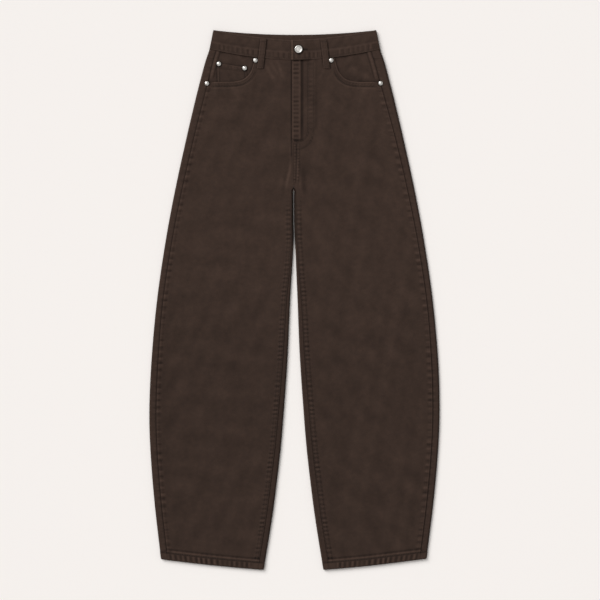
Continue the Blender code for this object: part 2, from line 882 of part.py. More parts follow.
def buildTrousers():
    for side in ("R", "L"):
        buildFront(side, makeMaterial("front_twill_" + side, twillColour, 0.9, 0.0))
        buildBack(side, makeMaterial("back_twill_" + side, twillColour, 0.9, 0.0))
        buildYoke(side, makeMaterial("yoke_twill_" + side, twillColour, 0.9, 0.0))
        buildBackPocket(side, makeMaterial("pocket_twill_" + side, twillColour, 0.9, 0.0))
        buildFacing(side, makeMaterial("facing_twill_" + side, facingColour, 0.9, 0.0))
    buildCoinPocket(makeMaterial("coin_pocket_twill", facingColour, 0.9, 0.0))
    buildWaistband(makeMaterial("waistband_twill", twillColour, 0.9, 0.0))
    for number, row in enumerate(beltLoops, 1):
        buildBeltLoop(number, row, makeMaterial("loop_twill_%d" % number, twillColour, 0.9, 0.0))
    for number, row in enumerate(rivets, 1):
        buildRivet(number, row, makeMaterial("rivet_metal_%d" % number, metalColour, 0.35, 1.0))
    buildButton(makeMaterial("button_metal", metalColour, 0.35, 1.0))


buildTrousers()
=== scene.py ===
# Barrel leg trousers laid flat, face up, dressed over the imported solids.
# Sizes are in millimetres and become metres when a mesh is made.
import math

import bpy
import numpy as np
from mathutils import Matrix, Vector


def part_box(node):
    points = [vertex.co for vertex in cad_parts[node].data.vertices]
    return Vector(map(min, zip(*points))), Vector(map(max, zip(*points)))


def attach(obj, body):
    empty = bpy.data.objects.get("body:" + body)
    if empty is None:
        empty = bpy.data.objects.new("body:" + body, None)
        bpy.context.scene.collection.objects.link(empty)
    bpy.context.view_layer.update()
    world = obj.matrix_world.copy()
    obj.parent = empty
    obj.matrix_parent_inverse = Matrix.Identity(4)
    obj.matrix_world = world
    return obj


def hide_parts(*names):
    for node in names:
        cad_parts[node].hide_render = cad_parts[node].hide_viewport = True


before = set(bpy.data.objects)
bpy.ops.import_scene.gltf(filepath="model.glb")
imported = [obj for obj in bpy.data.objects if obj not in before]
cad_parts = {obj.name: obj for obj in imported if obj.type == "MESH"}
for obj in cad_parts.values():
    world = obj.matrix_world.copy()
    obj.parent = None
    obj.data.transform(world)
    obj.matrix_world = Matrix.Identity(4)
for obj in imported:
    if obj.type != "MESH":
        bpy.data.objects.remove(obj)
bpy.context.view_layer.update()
print("frame loaded,", len(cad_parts), "nodes")

metresPerMm = 0.001
sides = {"R": -1.0, "L": 1.0}  # the wearer's right leg lies at -X

# The cut that every piece shares, as the solids have it
cut = {
    "wall": 1.2,
    "seamHalf": 0.15,
    "crotchHeight": 218.0,
    "crotchBlend": 7.0,
    "legSag": 1.0,
    "sagEdgeShare": 0.22,
    "legToHip": (200.0, 400.0),
    "waistLift": 1.6,
    "waistLiftRows": (425.0, 452.0),
    "riseSeamX": -2.9,
    "flySeamX": -4.95,
    "flyBottom": 307.0,
    "hemHeight": 15.5,
    "yokeCentre": 412.0,
    "yokeSide": 466.0,
    "topCorner": 521.0,
    "topHalfWidth": 157.5,
    "turnRows": (202.0, 220.0),
    "centreShift": 0.75,
    "leftHemRise": 0.9,
    "waistRow": 463.0,
    "hemRow": -505.5,
}

# Outer fold of each leg. Columns: height, half width of the garment
outerFold = [
    (-521.0, 253.5), (-482.5, 258.6), (-386.0, 269.9), (-289.5, 277.9), (-212.3, 280.3),
    (-115.8, 276.8), (0.0, 266.2), (115.8, 249.3), (212.3, 231.3), (308.8, 210.3),
    (386.0, 192.2), (424.6, 182.4), (463.2, 171.8), (482.5, 165.3), (501.8, 161.2),
    (521.0, 157.5),
]

# Inner fold of each leg. Columns: height, distance from the centre line
innerFold = [
    (-521.0, 57.5), (-463.0, 47.8), (-405.0, 39.0), (-347.0, 31.6), (-290.0, 25.1),
    (-232.0, 20.1), (-116.0, 11.9), (0.0, 6.8), (58.0, 3.9), (90.0, 2.5), (115.0, 1.0),
    (140.0, 0.7), (218.0, 0.7), (521.0, 0.7),
]

# How far the legs lean to -X. Columns: height, right inner fold, left inner fold, outer folds
legLean = [
    (-521.0, 2.9, 2.2, 2.2), (-405.0, 2.8, 2.2, 1.75), (-309.0, 2.7, 2.1, 1.25),
    (-212.0, 2.6, 2.0, 0.75), (-130.0, 2.5, 1.9, 0.1), (-68.0, 2.5, 1.9, 0.0), (29.0, 2.1, 1.4, 0.0),
    (77.0, 1.2, 1.1, 0.0), (115.0, 1.2, 1.2, 0.0), (150.0, 2.1, 2.1, 0.0), (218.0, 2.1, 2.1, 0.0),
    (232.0, 1.2, 1.2, 0.0), (247.0, 0.3, 0.3, 0.0), (262.0, 0.0, 0.0, 0.0), (300.0, 0.0, 0.0, 0.0),
    (521.0, 0.0, 0.0, 0.0),
]

# Height of the side folds above the surface. Columns: height along the garment, fold height
foldHeight = [(-521.0, 5.2), (200.0, 5.2), (420.0, 6.9), (521.0, 6.9)]

# Inseam on the front, from the inner fold. Columns: height, distance
inseamInset = [
    (-521.0, 11.5), (-347.0, 11.5), (-232.0, 10.5), (-116.0, 9.0), (0.0, 7.0), (58.0, 4.8),
    (120.0, 3.8), (521.0, 3.8),
]

# Outseam on the front, from the outer fold. Columns: height, right leg, left leg
outseamInset = [
    (-521.0, 13.0, 13.0), (-125.0, 12.9, 12.9), (0.0, 11.5, 11.5), (300.0, 14.0, 15.0),
    (420.0, 15.5, 19.0), (521.0, 12.0, 19.0),
]

# Curved mouth of the front pockets. Columns: distance from the centre line, height
pocketMouth = [
    (76.0, 468.0), (79.0, 458.6), (84.0, 442.3), (96.5, 427.5), (114.0, 421.8),
    (137.0, 420.7), (190.0, 420.7),
]


def smooth(value, start, end):
    share = np.clip((np.asarray(value, float) - start) / (end - start), 0.0, 1.0)
    return share * share * (3.0 - 2.0 * share)


def mix(first, second, share):
    return first + (second - first) * share


def bump(distance, halfWidth):  # 1 on a line, falling softly to 0 on both sides
    return np.exp(-(distance / halfWidth) ** 2)


def readTable(table, place, column=1):
    rows = np.array([(row[0], row[column]) for row in table])
    x, y = rows[:, 0], rows[:, 1]
    slope = np.empty(len(x))
    slope[1:-1] = (y[2:] - y[:-2]) / (x[2:] - x[:-2])
    slope[0] = (y[1] - y[0]) / (x[1] - x[0])
    slope[-1] = (y[-1] - y[-2]) / (x[-1] - x[-2])
    place = np.asarray(place, float)
    at = np.clip(np.searchsorted(x, place) - 1, 0, len(x) - 2)
    width = x[at + 1] - x[at]
    share = np.clip((place - x[at]) / width, 0.0, 1.0)
    square, cube = share ** 2, share ** 3
    return ((2 * cube - 3 * square + 1) * y[at] + (cube - 2 * square + share) * width * slope[at]
            + (3 * square - 2 * cube) * y[at + 1] + (cube - square) * width * slope[at + 1])


def outerEdge(y):
    return readTable(outerFold, y)


def innerEdge(y):
    return readTable(innerFold, y)


# Points in mm moved to where the legs lean, with the left hem a little higher at its outer corner
def leant(points):
    x, y = points[..., 0], points[..., 1]
    near = np.where(x < 0.0, readTable(legLean, y, 1), readTable(legLean, y, 2))
    lean = mix(near, readTable(legLean, y, 3), np.clip(np.abs(x) / outerEdge(y), 0.0, 1.0))
    rise = cut["leftHemRise"] * smooth(-y, 400.0, 500.0) * smooth(x, 120.0, 230.0)
    return np.stack([x - lean + cut["centreShift"], y + rise, points[..., 2]], axis=-1)


def topLevel(y):
    return readTable(foldHeight, y)


def waistLift(y):  # the waist is held up by the loops behind it
    return cut["waistLift"] * smooth(y, *cut["waistLiftRows"])


def foldRadius(y):
    return (topLevel(y) - waistLift(y)) / 2


def outseamDistance(y, side):
    return readTable(outseamInset, y, 1 if side == "R" else 2)


def hemLine(u):
    across = u - 67.0
    return -520.25 + 0.077 * across + 0.000148 * across * abs(across)


def frontBandSeam(u):
    return cut["waistRow"] + 0.00216 * np.abs(u) ** 1.8


def backBandSeam(u):
    return 474.0 + 0.00104 * np.abs(u) ** 1.8


def frontBandTop(u):
    share = np.minimum(np.abs(u), cut["topHalfWidth"]) / cut["topHalfWidth"]
    return 501.5 + (cut["topCorner"] - 501.5) * share ** 1.5


def backBandTop(u):
    share = np.minimum(np.abs(u), cut["topHalfWidth"]) / cut["topHalfWidth"]
    return 512.0 + (cut["topCorner"] - 512.0) * share ** 2


def yokeSeam(u):
    share = np.clip(np.abs(u) / outerEdge(cut["yokeSide"]), 0.0, 1.0)
    return mix(cut["yokeCentre"], cut["yokeSide"], share)


def seamX(y):
    return mix(cut["riseSeamX"], cut["flySeamX"], smooth(y, cut["flyBottom"] - 4.0, cut["flyBottom"]))


def frontStart(y, side):
    across = seamX(y) * smooth(y, cut["crotchHeight"], cut["flyBottom"] - 60.0) * sides[side]
    above = cut["seamHalf"] + across
    below = innerEdge(y) + readTable(inseamInset, y) + cut["seamHalf"]
    return mix(below, above, smooth(y, cut["crotchHeight"] - cut["crotchBlend"], cut["crotchHeight"]))


def frontEnd(y, side):
    return outerEdge(y) - outseamDistance(y, side) - cut["seamHalf"]


# Puckers sit unevenly along a seam: their spacing and depth wander with the place
def pucker(place, pitch, seed):
    rng = np.random.default_rng(seed)
    drift, depth = 0.0, 0.0
    for reach in (4.3, 9.1, 19.0):
        drift = drift + 0.2 * np.sin(place / (pitch * reach / 6.283) + rng.uniform(0, 6.283)) * reach ** 0.5
        depth = depth + np.sin(place / (pitch * reach / 9.0) + rng.uniform(0, 6.283))
    return np.sin(6.283 * place / pitch + drift) * (0.72 + 0.22 * depth)


# Soft unevenness over a whole panel, made of waves in many directions
def crumple(x, y, size, seed, count=14):
    rng = np.random.default_rng(seed)
    total = 0.0
    for _ in range(count):
        length = size * rng.uniform(0.6, 1.7)
        angle = rng.uniform(0, math.pi)
        phase = rng.uniform(0, 6.283)
        total = total + np.sin(6.283 * (x * math.cos(angle) + y * math.sin(angle)) / length + phase)
    return total / count ** 0.5


# Soft folds of the fronts. Columns: side, top, distance there, bottom, distance there, half width, height
softFolds = [
    ("R", 60.0, 132.0, -430.0, 142.0, 42.0, 1.3),
    ("R", 150.0, 60.0, -60.0, 48.0, 30.0, -0.5),
    ("R", -40.0, 84.0, -400.0, 92.0, 34.0, -0.6),
    ("L", -20.0, 186.0, -400.0, 184.0, 38.0, 1.1),
    ("L", -60.0, 112.0, -440.0, 118.0, 46.0, -0.7),
    ("L", 330.0, 24.0, 90.0, 30.0, 20.0, -0.6),
    ("R", 250.0, 214.0, -470.0, 246.0, 9.0, -0.7),
    ("L", 250.0, 214.0, -470.0, 246.0, 9.0, -0.6),
    ("R", 395.0, 12.0, 335.0, 16.0, 7.0, -0.5),
    ("L", 300.0, 92.0, 170.0, 112.0, 16.0, -0.3),
    ("R", 420.0, 120.0, 250.0, 96.0, 26.0, 0.4),
    ("L", 415.0, 118.0, 240.0, 140.0, 30.0, 0.4),
]

# Creases at the crotch and drag lines under the band. Columns: side, x, y, x, y, half width, height
creases = [
    ("R", 8.3, 300.0, 8.8, 246.0, 1.8, 0.16),
    ("R", 9.0, 256.0, 14.7, 216.0, 2.6, 0.34),
    ("R", 15.5, 250.0, 23.0, 196.0, 4.0, -0.16),
    ("L", 5.0, 268.0, 5.4, 226.0, 1.8, 0.26),
    ("L", 7.6, 250.0, 14.3, 213.0, 2.6, 0.2),
    ("L", 16.0, 258.0, 22.0, 200.0, 4.5, -0.18),
    ("R", 33.0, 460.0, 23.0, 430.0, 3.0, 0.28),
    ("R", 55.0, 452.0, 38.0, 422.0, 3.4, 0.26),
    ("R", 46.0, 458.0, 34.0, 437.0, 2.6, 0.2),
    ("L", 58.0, 446.0, 46.0, 424.0, 3.0, 0.16),
    ("L", 40.0, 460.0, 37.0, 438.0, 2.6, 0.14),
    ("R", 122.0, 414.0, 106.0, 388.0, 5.0, 0.16),
    ("L", 140.0, 414.0, 124.0, 380.0, 6.0, 0.16),
]


def foldRelief(u, y, side):
    relief = 0.0 * u
    for foldSide, top, topPlace, bottom, bottomPlace, width, height in softFolds:
        if foldSide != side:
            continue
        along = np.clip((top - y) / (top - bottom), 0.0, 1.0)
        away = (u - mix(topPlace, bottomPlace, along)) / width
        relief = relief + height * np.sin(math.pi * along) ** 2 / (1.0 + 2.0 * away ** 2)
    return relief


def creaseRelief(u, y, side):
    relief = 0.0 * u
    for creaseSide, x0, y0, x1, y1, width, height in creases:
        if creaseSide != side:
            continue
        length2 = (x1 - x0) ** 2 + (y1 - y0) ** 2
        along = ((u - x0) * (x1 - x0) + (y - y0) * (y1 - y0)) / length2
        away = ((u - x0) * (y1 - y0) - (y - y0) * (x1 - x0)) / length2 ** 0.5
        ends = smooth(along, -0.25, 0.25) * (1.0 - smooth(along, 0.7, 1.3))
        relief = relief + height * ends * bump(away, width)
    return relief


def nearSeam(distance, width):
    return np.where(distance >= 0.0, 1.0 - smooth(distance, width - 2.5, width), 0.0)


# What a user would change on the seams of the fronts
seams = {
    "fellWidth": 11.0, "fellRaise": 0.8, "fellRows": (150.0, 210.0), "fellStitches": (2.3, 8.6),
    "fellPitch": 8.7, "fellPucker": 0.26,
    "ridgeWidth": 7.6, "ridgeRaise": 0.6, "ridgePitch": 14.6, "ridgePucker": 0.24,
    "flyRaise": 1.2, "flyEdge": (15.2, 18.6), "flyPitch": 8.6, "flyPucker": 0.26,
    "flyStitches": (31.5, 40.5), "risePitch": 5.7, "risePucker": 0.3, "riseRows": (3.3, 9.8),
    "stitchGroove": 0.3, "mouthStitches": (3.4, 8.9), "mouthPitch": 6.4, "mouthPucker": 0.16,
}


# Height of the front's outer face over the surface, and its fine relief alone
def frontSurface(u, y, side, mouth=None):
    start = innerEdge(y) + readTable(inseamInset, y)
    end = outerEdge(y) - outseamDistance(y, side)
    across = np.clip((u - start) / (end - start), 0.0, 1.0)
    onLeg = 1.0 - smooth(y, *cut["legToHip"])
    edge = cut["sagEdgeShare"]
    inside = smooth(across, 0.0, edge) * (1.0 - smooth(across, 1.0 - edge, 1.0))
    level = topLevel(y) + inside * (foldRelief(u, y, side) - cut["legSag"] * onLeg)

    onInseam = 1.0 - smooth(y, *seams["fellRows"])
    fell = u - start
    level = level + seams["fellRaise"] * onInseam * nearSeam(fell, seams["fellWidth"])
    fromOutseam = end - u
    level = level + seams["ridgeRaise"] * nearSeam(fromOutseam, seams["ridgeWidth"])

    fine = 0.06 * crumple(u, y, 46.0, 11 if side == "R" else 12)
    fine = fine + 0.014 * crumple(u, y, 15.0, 13 if side == "R" else 14)
    fine = fine * smooth(np.abs(fell) + 400.0 * (1.0 - onInseam), 4.0, 30.0) * smooth(fromOutseam, 4.0, 26.0)

    fellBand = smooth(fell, 0.6, 2.6) * (1.0 - smooth(fell, 8.0, 13.5))
    fine = fine + onInseam * fellBand * seams["fellPucker"] * pucker(y, seams["fellPitch"], 21)
    for place in seams["fellStitches"]:
        fine = fine - onInseam * seams["stitchGroove"] * bump(fell - place, 0.9)

    ridgeBand = smooth(fromOutseam, 0.3, 2.0) * (1.0 - smooth(fromOutseam, 6.0, 12.5))
    fine = fine + ridgeBand * seams["ridgePucker"] * pucker(y, seams["ridgePitch"], 31 if side == "R" else 32)
    fine = fine + ridgeBand * 0.1 * pucker(y, 6.4, 33)

    # rise under the fly, double stitched beside the centre seam
    x = u * sides[side]
    fromRise = x - seamX(y)
    onRise = smooth(y, 222.0, 232.0) * (1.0 - smooth(y, 300.0, 304.0))
    level = level + 0.45 * onRise * (1.0 - smooth(fromRise, 10.5, 13.5)) * (side == "L") * (fromRise > 0)
    for number, place in enumerate(seams["riseRows"]):
        beads = pucker(y, seams["risePitch"], 41 + number) * bump(fromRise - place, 2.0)
        fine = fine + onRise * seams["risePucker"] * beads * (side == "L")
    fine = fine - onRise * 0.4 * bump(fromRise - 6.3, 1.1) * (side == "L")
    fine = fine - onRise * 0.12 * bump(fromRise - 12.4, 1.4) * (side == "L")

    if side == "L":
        # fly: a raised strip by its edge, a step down, and the J stitched facing under it
        onFly = smooth(y, 304.0, 309.0)
        low, high = seams["flyEdge"]
        level = level + seams["flyRaise"] * onFly * (1.0 - 0.6 * smooth(fromRise, low, high))
        level = level - 0.4 * seams["flyRaise"] * onFly * smooth(fromRise, 30.0, 50.0)
        strip = smooth(fromRise, 0.6, 3.0) * (1.0 - smooth(fromRise, 11.0, 15.5))
        fine = fine + onFly * strip * seams["flyPucker"] * pucker(y, seams["flyPitch"], 51)
        fine = fine - onFly * 0.12 * bump(fromRise - 2.4, 0.8) - onFly * 0.4 * bump(fromRise - 18.9, 1.9)
        fine = fine + onFly * 0.2 * bump(fromRise - 14.2, 1.6)
        fine = fine + onFly * 0.16 * pucker(y, 9.0, 52) * bump(fromRise - 36.0, 5.0) * smooth(y, 320.0, 340.0)
        fine = fine - onFly * 0.5 * (1.0 - smooth(np.abs(y - 310.0), 0.6, 2.4)) * (fromRise < 16.0)
        for path in flyStitchPaths():
            fine = fine - 0.22 * bump(distanceToPath(x, y, path), 1.0)
    else:
        fine = fine - 0.25 * bump(u - 6.6, 1.4) * smooth(y, 274.0, 280.0)

    if mouth is not None:
        # pocket mouth: a rolled edge with two rows of stitches
        inMouth = smooth(u, 72.0, 79.0) * (1.0 - smooth(u, end - 16.0, end - 8.0))
        for place, depth in zip(seams["mouthStitches"], (0.14, 0.3)):
            fine = fine - depth * inMouth * bump(mouth - place, 1.1)
        band = smooth(mouth, 1.5, 4.0) * (1.0 - smooth(mouth, 6.0, 9.0))
        fine = fine + inMouth * band * seams["mouthPucker"] * pucker(u - 0.7 * y, seams["mouthPitch"], 61)
        fine = fine + inMouth * (0.2 * bump(mouth - 1.3, 1.3) + 0.14 * bump(mouth - 11.8, 1.8))
        level = level - inMouth * 0.45 * (1.0 - smooth(mouth, 0.0, 1.3))
    if side == "R":
        inner = smooth(u, 72.0, 83.0) * (1.0 - smooth(u, 150.0, 158.0))
        level = level + 1.6 * inner * smooth(y, 386.0, 401.0) * (1.0 - smooth(y, 438.0, 446.0))
    fine = fine + creaseRelief(u, y, side)
    # the seam above the hem sinks into its stitching
    aboveHem = y - hemLine(u) - cut["hemHeight"]
    fine = fine + 0.3 * bump(aboveHem - 1.6, 1.3) - 0.22 * bump(aboveHem - 5.4, 1.7)
    fine = fine + 0.1 * pucker(u, 10.0, 71) * bump(aboveHem - 3.0, 3.0)
    return level, fine


# J of the fly as two stitched curves, drawn from the waist down
def flyStitchPaths():
    paths = []
    for x, radius, foot in ((26.4, 23.0, 305.5), (35.0, 31.0, 291.0)):
        points = [(x, 459.0), (x, foot + radius + 9.0)]
        for step in range(9):
            angle = math.pi / 2 * step / 8
            points.append((x - radius * (1.0 - math.cos(angle)), foot + radius * (1.0 - math.sin(angle))))
        paths.append(points)
    return paths


def distanceToPath(x, y, path):
    nearest = np.full(np.shape(x), 1e9)
    for (x0, y0), (x1, y1) in zip(path[:-1], path[1:]):
        length2 = (x1 - x0) ** 2 + (y1 - y0) ** 2
        along = np.clip(((x - x0) * (x1 - x0) + (y - y0) * (y1 - y0)) / length2, 0.0, 1.0)
        away = np.hypot(x - x0 - along * (x1 - x0), y - y0 - along * (y1 - y0))
        nearest = np.minimum(nearest, away)
    return nearest


# The legs are a little darker than the hips, and beside the right outseam a band of painted shade marks a fold's
# trough
def legShade(x, y):
    shade = -0.14 * smooth(-y, -150.0, 200.0)
    fromEdge = outerEdge(y) + x
    trough = bump(fromEdge - 27.0, 9.0) * smooth(-y, -80.0, 60.0) * (1.0 - smooth(-y, 330.0, 420.0))
    return shade - 0.1 * trough * (x < 0.0)


def addPiece(name, mesh, material):
    piece = bpy.data.objects.new(name, mesh)
    bpy.context.scene.collection.objects.link(piece)
    mesh.materials.append(material)
    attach(piece, "root")
    return piece


# Cloth between two grids of points. The inner face has fewer rows, so its sides are longer faces
def clothMesh(name, outer, inner, wearAndShade, material, flip=False, innerStep=4, closed=False):
    rowCount, columnCount = outer.shape[:2]
    innerRows = sorted(set(list(range(0, rowCount, innerStep)) + [rowCount - 1]))
    points = np.concatenate([outer.reshape(-1, 3), inner[innerRows].reshape(-1, 3)])
    vertices = leant(points) * metresPerMm
    size = rowCount * columnCount
    span = columnCount if closed else columnCount - 1
    faces = []

    def outerAt(row, column):
        return row * columnCount + column % columnCount

    def innerAt(pick, column):
        return size + pick * columnCount + column % columnCount

    for row in range(rowCount - 1):
        for column in range(span):
            faces.append((outerAt(row, column), outerAt(row, column + 1),
                          outerAt(row + 1, column + 1), outerAt(row + 1, column)))
    for pick in range(len(innerRows) - 1):
        for column in range(span):
            faces.append((innerAt(pick, column), innerAt(pick + 1, column),
                          innerAt(pick + 1, column + 1), innerAt(pick, column + 1)))
        if closed:
            continue
        between = list(range(innerRows[pick], innerRows[pick + 1] + 1))
        last = columnCount - 1
        faces.append([outerAt(row, 0) for row in between] + [innerAt(pick + 1, 0), innerAt(pick, 0)])
        lastSide = [outerAt(row, last) for row in reversed(between)]
        faces.append(lastSide + [innerAt(pick, last), innerAt(pick + 1, last)])
    for column in range(span):
        faces.append((outerAt(0, column + 1), outerAt(0, column), innerAt(0, column), innerAt(0, column + 1)))
        end = len(innerRows) - 1
        faces.append((outerAt(rowCount - 1, column), outerAt(rowCount - 1, column + 1),
                      innerAt(end, column + 1), innerAt(end, column)))
    if flip:
        faces = [face[::-1] for face in faces]
    mesh = bpy.data.meshes.new(name)
    mesh.from_pydata(vertices.tolist(), [], faces)
    mesh.update()
    mesh.shade_smooth()
    mesh.set_sharp_from_angle(angle=math.radians(50.0))
    values = np.full(len(vertices), 0.0, np.float32)
    placed = points[:size]
    # The attribute holds both wear and painted light and shade, with legShade's darkening added
    values[:size] = np.clip(wearAndShade.reshape(-1), -1.1, 1.2) + legShade(placed[:, 0], placed[:, 1])
    mesh.attributes.new("wearAndShade", "FLOAT", "POINT").data.foreach_set("value", values)
    piece = addPiece(name, mesh, material)
    return piece


# Hides the solids that a cloth piece stands in for
def layFlat(nodes):
    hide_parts(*nodes)


def addNode(tree, kind, **settings):
    node = tree.nodes.new(kind)
    for name, value in settings.items():
        setattr(node, name, value)
    return node


def addNoise(tree, place, scale, detail):
    noise = addNode(tree, "ShaderNodeTexNoise")
    noise.inputs["Scale"].default_value = scale
    noise.inputs["Detail"].default_value = detail
    tree.links.new(place, noise.inputs["Vector"])
    return noise


# Washed twill: diagonal ridges, mottled dye, and colour scaled by the wear attribute: paler on high places and
# darker in the seams, partly from wear and partly from painted highlight and painted shade
def twillMaterial(name, finish):
    material = bpy.data.materials.new(name)
    material.use_nodes = True
    tree = material.node_tree
    shader = tree.nodes["Principled BSDF"]
    link = tree.links.new
    place = addNode(tree, "ShaderNodeTexCoord").outputs["Object"]

    blotch = addNoise(tree, place, finish["blotchScale"], 3.0)
    mottle = addNoise(tree, place, finish["mottleScale"], 4.0)
    yarn = addNoise(tree, place, finish["yarnScale"], 2.0)

    def shade(source, low, high, before):
        ramp = addNode(tree, "ShaderNodeMapRange")
        ramp.inputs["From Min"].default_value = 0.3
        ramp.inputs["From Max"].default_value = 0.7
        ramp.inputs["To Min"].default_value = low
        ramp.inputs["To Max"].default_value = high
        link(source, ramp.inputs["Value"])
        if before is None:
            return ramp.outputs["Result"]
        times = addNode(tree, "ShaderNodeMath", operation="MULTIPLY")
        link(before, times.inputs[0])
        link(ramp.outputs["Result"], times.inputs[1])
        return times.outputs["Value"]

    depth = shade(blotch.outputs["Fac"], 1.0 - finish["blotch"], 1.0 + finish["blotch"], None)
    depth = shade(mottle.outputs["Fac"], 1.0 - finish["mottle"], 1.0 + finish["mottle"], depth)
    depth = shade(yarn.outputs["Fac"], 1.0 - finish["yarn"], 1.0 + finish["yarn"], depth)
    # Colour scaled up and down by the attribute that holds wear and painted light and shade
    wearAndShade = addNode(tree, "ShaderNodeAttribute", attribute_name="wearAndShade")
    worn = addNode(tree, "ShaderNodeMapRange")
    worn.inputs["From Min"].default_value = -1.0
    worn.inputs["From Max"].default_value = 1.0
    worn.inputs["To Min"].default_value = 1.0 - finish["wearAndShade"]
    worn.inputs["To Max"].default_value = 1.0 + finish["wearAndShade"]
    link(wearAndShade.outputs["Fac"], worn.inputs["Value"])
    times = addNode(tree, "ShaderNodeMath", operation="MULTIPLY")
    link(depth, times.inputs[0])
    link(worn.outputs["Result"], times.inputs[1])

    hue = addNode(tree, "ShaderNodeMix", data_type="RGBA")
    hue.inputs["A"].default_value = (*finish["colour"], 1.0)
    hue.inputs["B"].default_value = (*finish["colourWarm"], 1.0)
    link(mottle.outputs["Fac"], hue.inputs["Factor"])
    tone = addNode(tree, "ShaderNodeVectorMath", operation="SCALE")
    link(hue.outputs["Result"], tone.inputs["Vector"])
    link(times.outputs["Value"], tone.inputs["Scale"])
    link(tone.outputs["Vector"], shader.inputs["Base Color"])

    rough = addNode(tree, "ShaderNodeMapRange")
    rough.inputs["To Min"].default_value = finish["roughness"] - 0.06
    rough.inputs["To Max"].default_value = finish["roughness"] + 0.06
    link(mottle.outputs["Fac"], rough.inputs["Value"])
    link(rough.outputs["Result"], shader.inputs["Roughness"])
    shader.inputs["Specular IOR Level"].default_value = finish["gloss"]
    shader.inputs["Sheen Weight"].default_value = finish["sheen"]
    shader.inputs["Sheen Roughness"].default_value = 0.5

    turned = addNode(tree, "ShaderNodeMapping")
    turned.inputs["Rotation"].default_value = (0.0, 0.0, math.radians(finish["twillAngle"]))
    link(place, turned.inputs["Vector"])
    ridges = addNode(tree, "ShaderNodeTexWave", wave_type="BANDS", bands_direction="X")
    ridges.inputs["Scale"].default_value = 2.0 * math.pi / (20.0 * finish["twillPitch"] * metresPerMm)
    ridges.inputs["Distortion"].default_value = 1.2
    ridges.inputs["Detail"].default_value = 1.5
    ridges.inputs["Detail Scale"].default_value = 1.4
    link(turned.outputs["Vector"], ridges.inputs["Vector"])
    weave = addNode(tree, "ShaderNodeMath", operation="MULTIPLY_ADD")
    weave.inputs[1].default_value = 0.6
    link(ridges.outputs["Fac"], weave.inputs[0])
    link(yarn.outputs["Fac"], weave.inputs[2])
    grain = addNode(tree, "ShaderNodeBump")
    grain.inputs["Strength"].default_value = finish["grain"]
    grain.inputs["Distance"].default_value = finish["grainDepth"] * metresPerMm
    link(weave.outputs["Value"], grain.inputs["Height"])
    soft = addNode(tree, "ShaderNodeBump")
    soft.inputs["Strength"].default_value = finish["grain"]
    soft.inputs["Distance"].default_value = finish["softDepth"] * metresPerMm
    link(mottle.outputs["Fac"], soft.inputs["Height"])
    link(grain.outputs["Normal"], soft.inputs["Normal"])
    link(soft.outputs["Normal"], shader.inputs["Normal"])
    return material


# The twill's wear entry sets how strongly wear and painted light and shade scale the colour
twill = {
    "colour": (0.0400, 0.0246, 0.0187), "colourWarm": (0.0480, 0.0290, 0.0214),
    "blotchScale": 9.0, "blotch": 0.04, "mottleScale": 120.0, "mottle": 0.07,
    "yarnScale": 1400.0, "yarn": 0.16, "wearAndShade": 0.8, "roughness": 0.88, "sheen": 0.02, "gloss": 0.12,
    "twillAngle": 28.0, "twillPitch": 0.9, "grain": 0.5, "grainDepth": 0.16, "softDepth": 0.5,
}
clothTwill = twillMaterial("washed_twill", twill)
# A slightly darker copy of the twill: painted shade for the cloth inside the pocket mouths
shadedInsideTwill = twillMaterial("shaded_inside_twill", {**twill, "colour": (0.0392, 0.0241, 0.0183),
                                             "colourWarm": (0.0470, 0.0284, 0.0210)})
threadTwist = twillMaterial("stitch_thread", {**twill, "colour": (0.058, 0.038, 0.029),
                                              "colourWarm": (0.066, 0.043, 0.032), "twillPitch": 0.35,
                                              "roughness": 0.7, "wearAndShade": 0.1})
print("materials made")


# Painted highlight on high places and painted shade in stitched grooves, together with wear
def wearAndShadeFrom(fine, scale=1.7):  # high places pale, stitched grooves dark
    return np.clip(fine * scale, -1.0, 1.0)


# Belt loops. Columns: place, x at the top, top, x at the bottom, bottom, width
beltLoops = [
    ("front", -60.4, 503.2, -66.8, 446.4, 11.8),
    ("front", 55.4, 503.2, 61.9, 446.4, 11.8),
    ("back", -105.0, 513.0, -110.0, 457.0, 11.8),
    ("back", 0.0, 509.5, 0.0, 457.0, 11.8),
    ("back", 105.0, 513.0, 110.0, 457.0, 11.8),
]

metalNodes = ["button"] + ["rivet_%d" % number for number in range(1, 7)]


def metalSpot(node):  # centre and radius of a packed metal piece, mm
    low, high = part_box(node)
    middle = (low + high) / 2 / metresPerMm
    return middle.x - cut["centreShift"], middle.y, (high.x - low.x) / 2 / metresPerMm


metalSpots = [metalSpot(node) for node in metalNodes]


# Dark where the cloth meets a loop, the button or a rivet
def contactShade(x, y):
    shade = 0.0 * (x + y)
    for place, topX, top, bottomX, bottom, width in beltLoops:
        if place == "front":
            along = (top - y) / (top - bottom)
            across = x - mix(topX, bottomX, along)
            onLoop = smooth(along, -0.04, 0.02) * (1.0 - smooth(along, 0.98, 1.04))
            rightSide = 0.95 * bump(across - width / 2 - 1.0, 1.3)
            leftSide = 0.55 * bump(across + width / 2 + 0.9, 1.1)
            shade = shade - onLoop * (rightSide + leftSide)
    for spotX, spotY, radius in metalSpots:
        away = np.hypot(x - spotX - 0.5, y - spotY + 0.5)
        shade = shade - 0.9 * bump(np.maximum(away - radius, 0.0), 1.9)
    return shade


# Rows of a front, closer under the waist and the pocket mouth
def frontRowHeights():
    close = np.arange(0.0, 16.0, 1.15)
    rest = np.linspace(16.5, cut["waistRow"] - cut["hemRow"], 600)
    return cut["waistRow"] - np.concatenate([close, rest])


frontColumns = {
    "inner": (0.0, 0.5, 1.2, 1.9, 2.6, 3.4, 4.6, 5.8, 7.0, 7.9, 8.8, 9.8, 10.8, 12.0, 13.6, 15.6, 17.8),
    "outer": (16.0, 13.4, 11.4, 9.8, 8.4, 7.4, 6.3, 5.1, 3.9, 2.8, 1.8, 0.9, 0.35, 0.0),
    "toMouth": 25, "alongMouth": 36, "mouthCorner": 76.0,
}


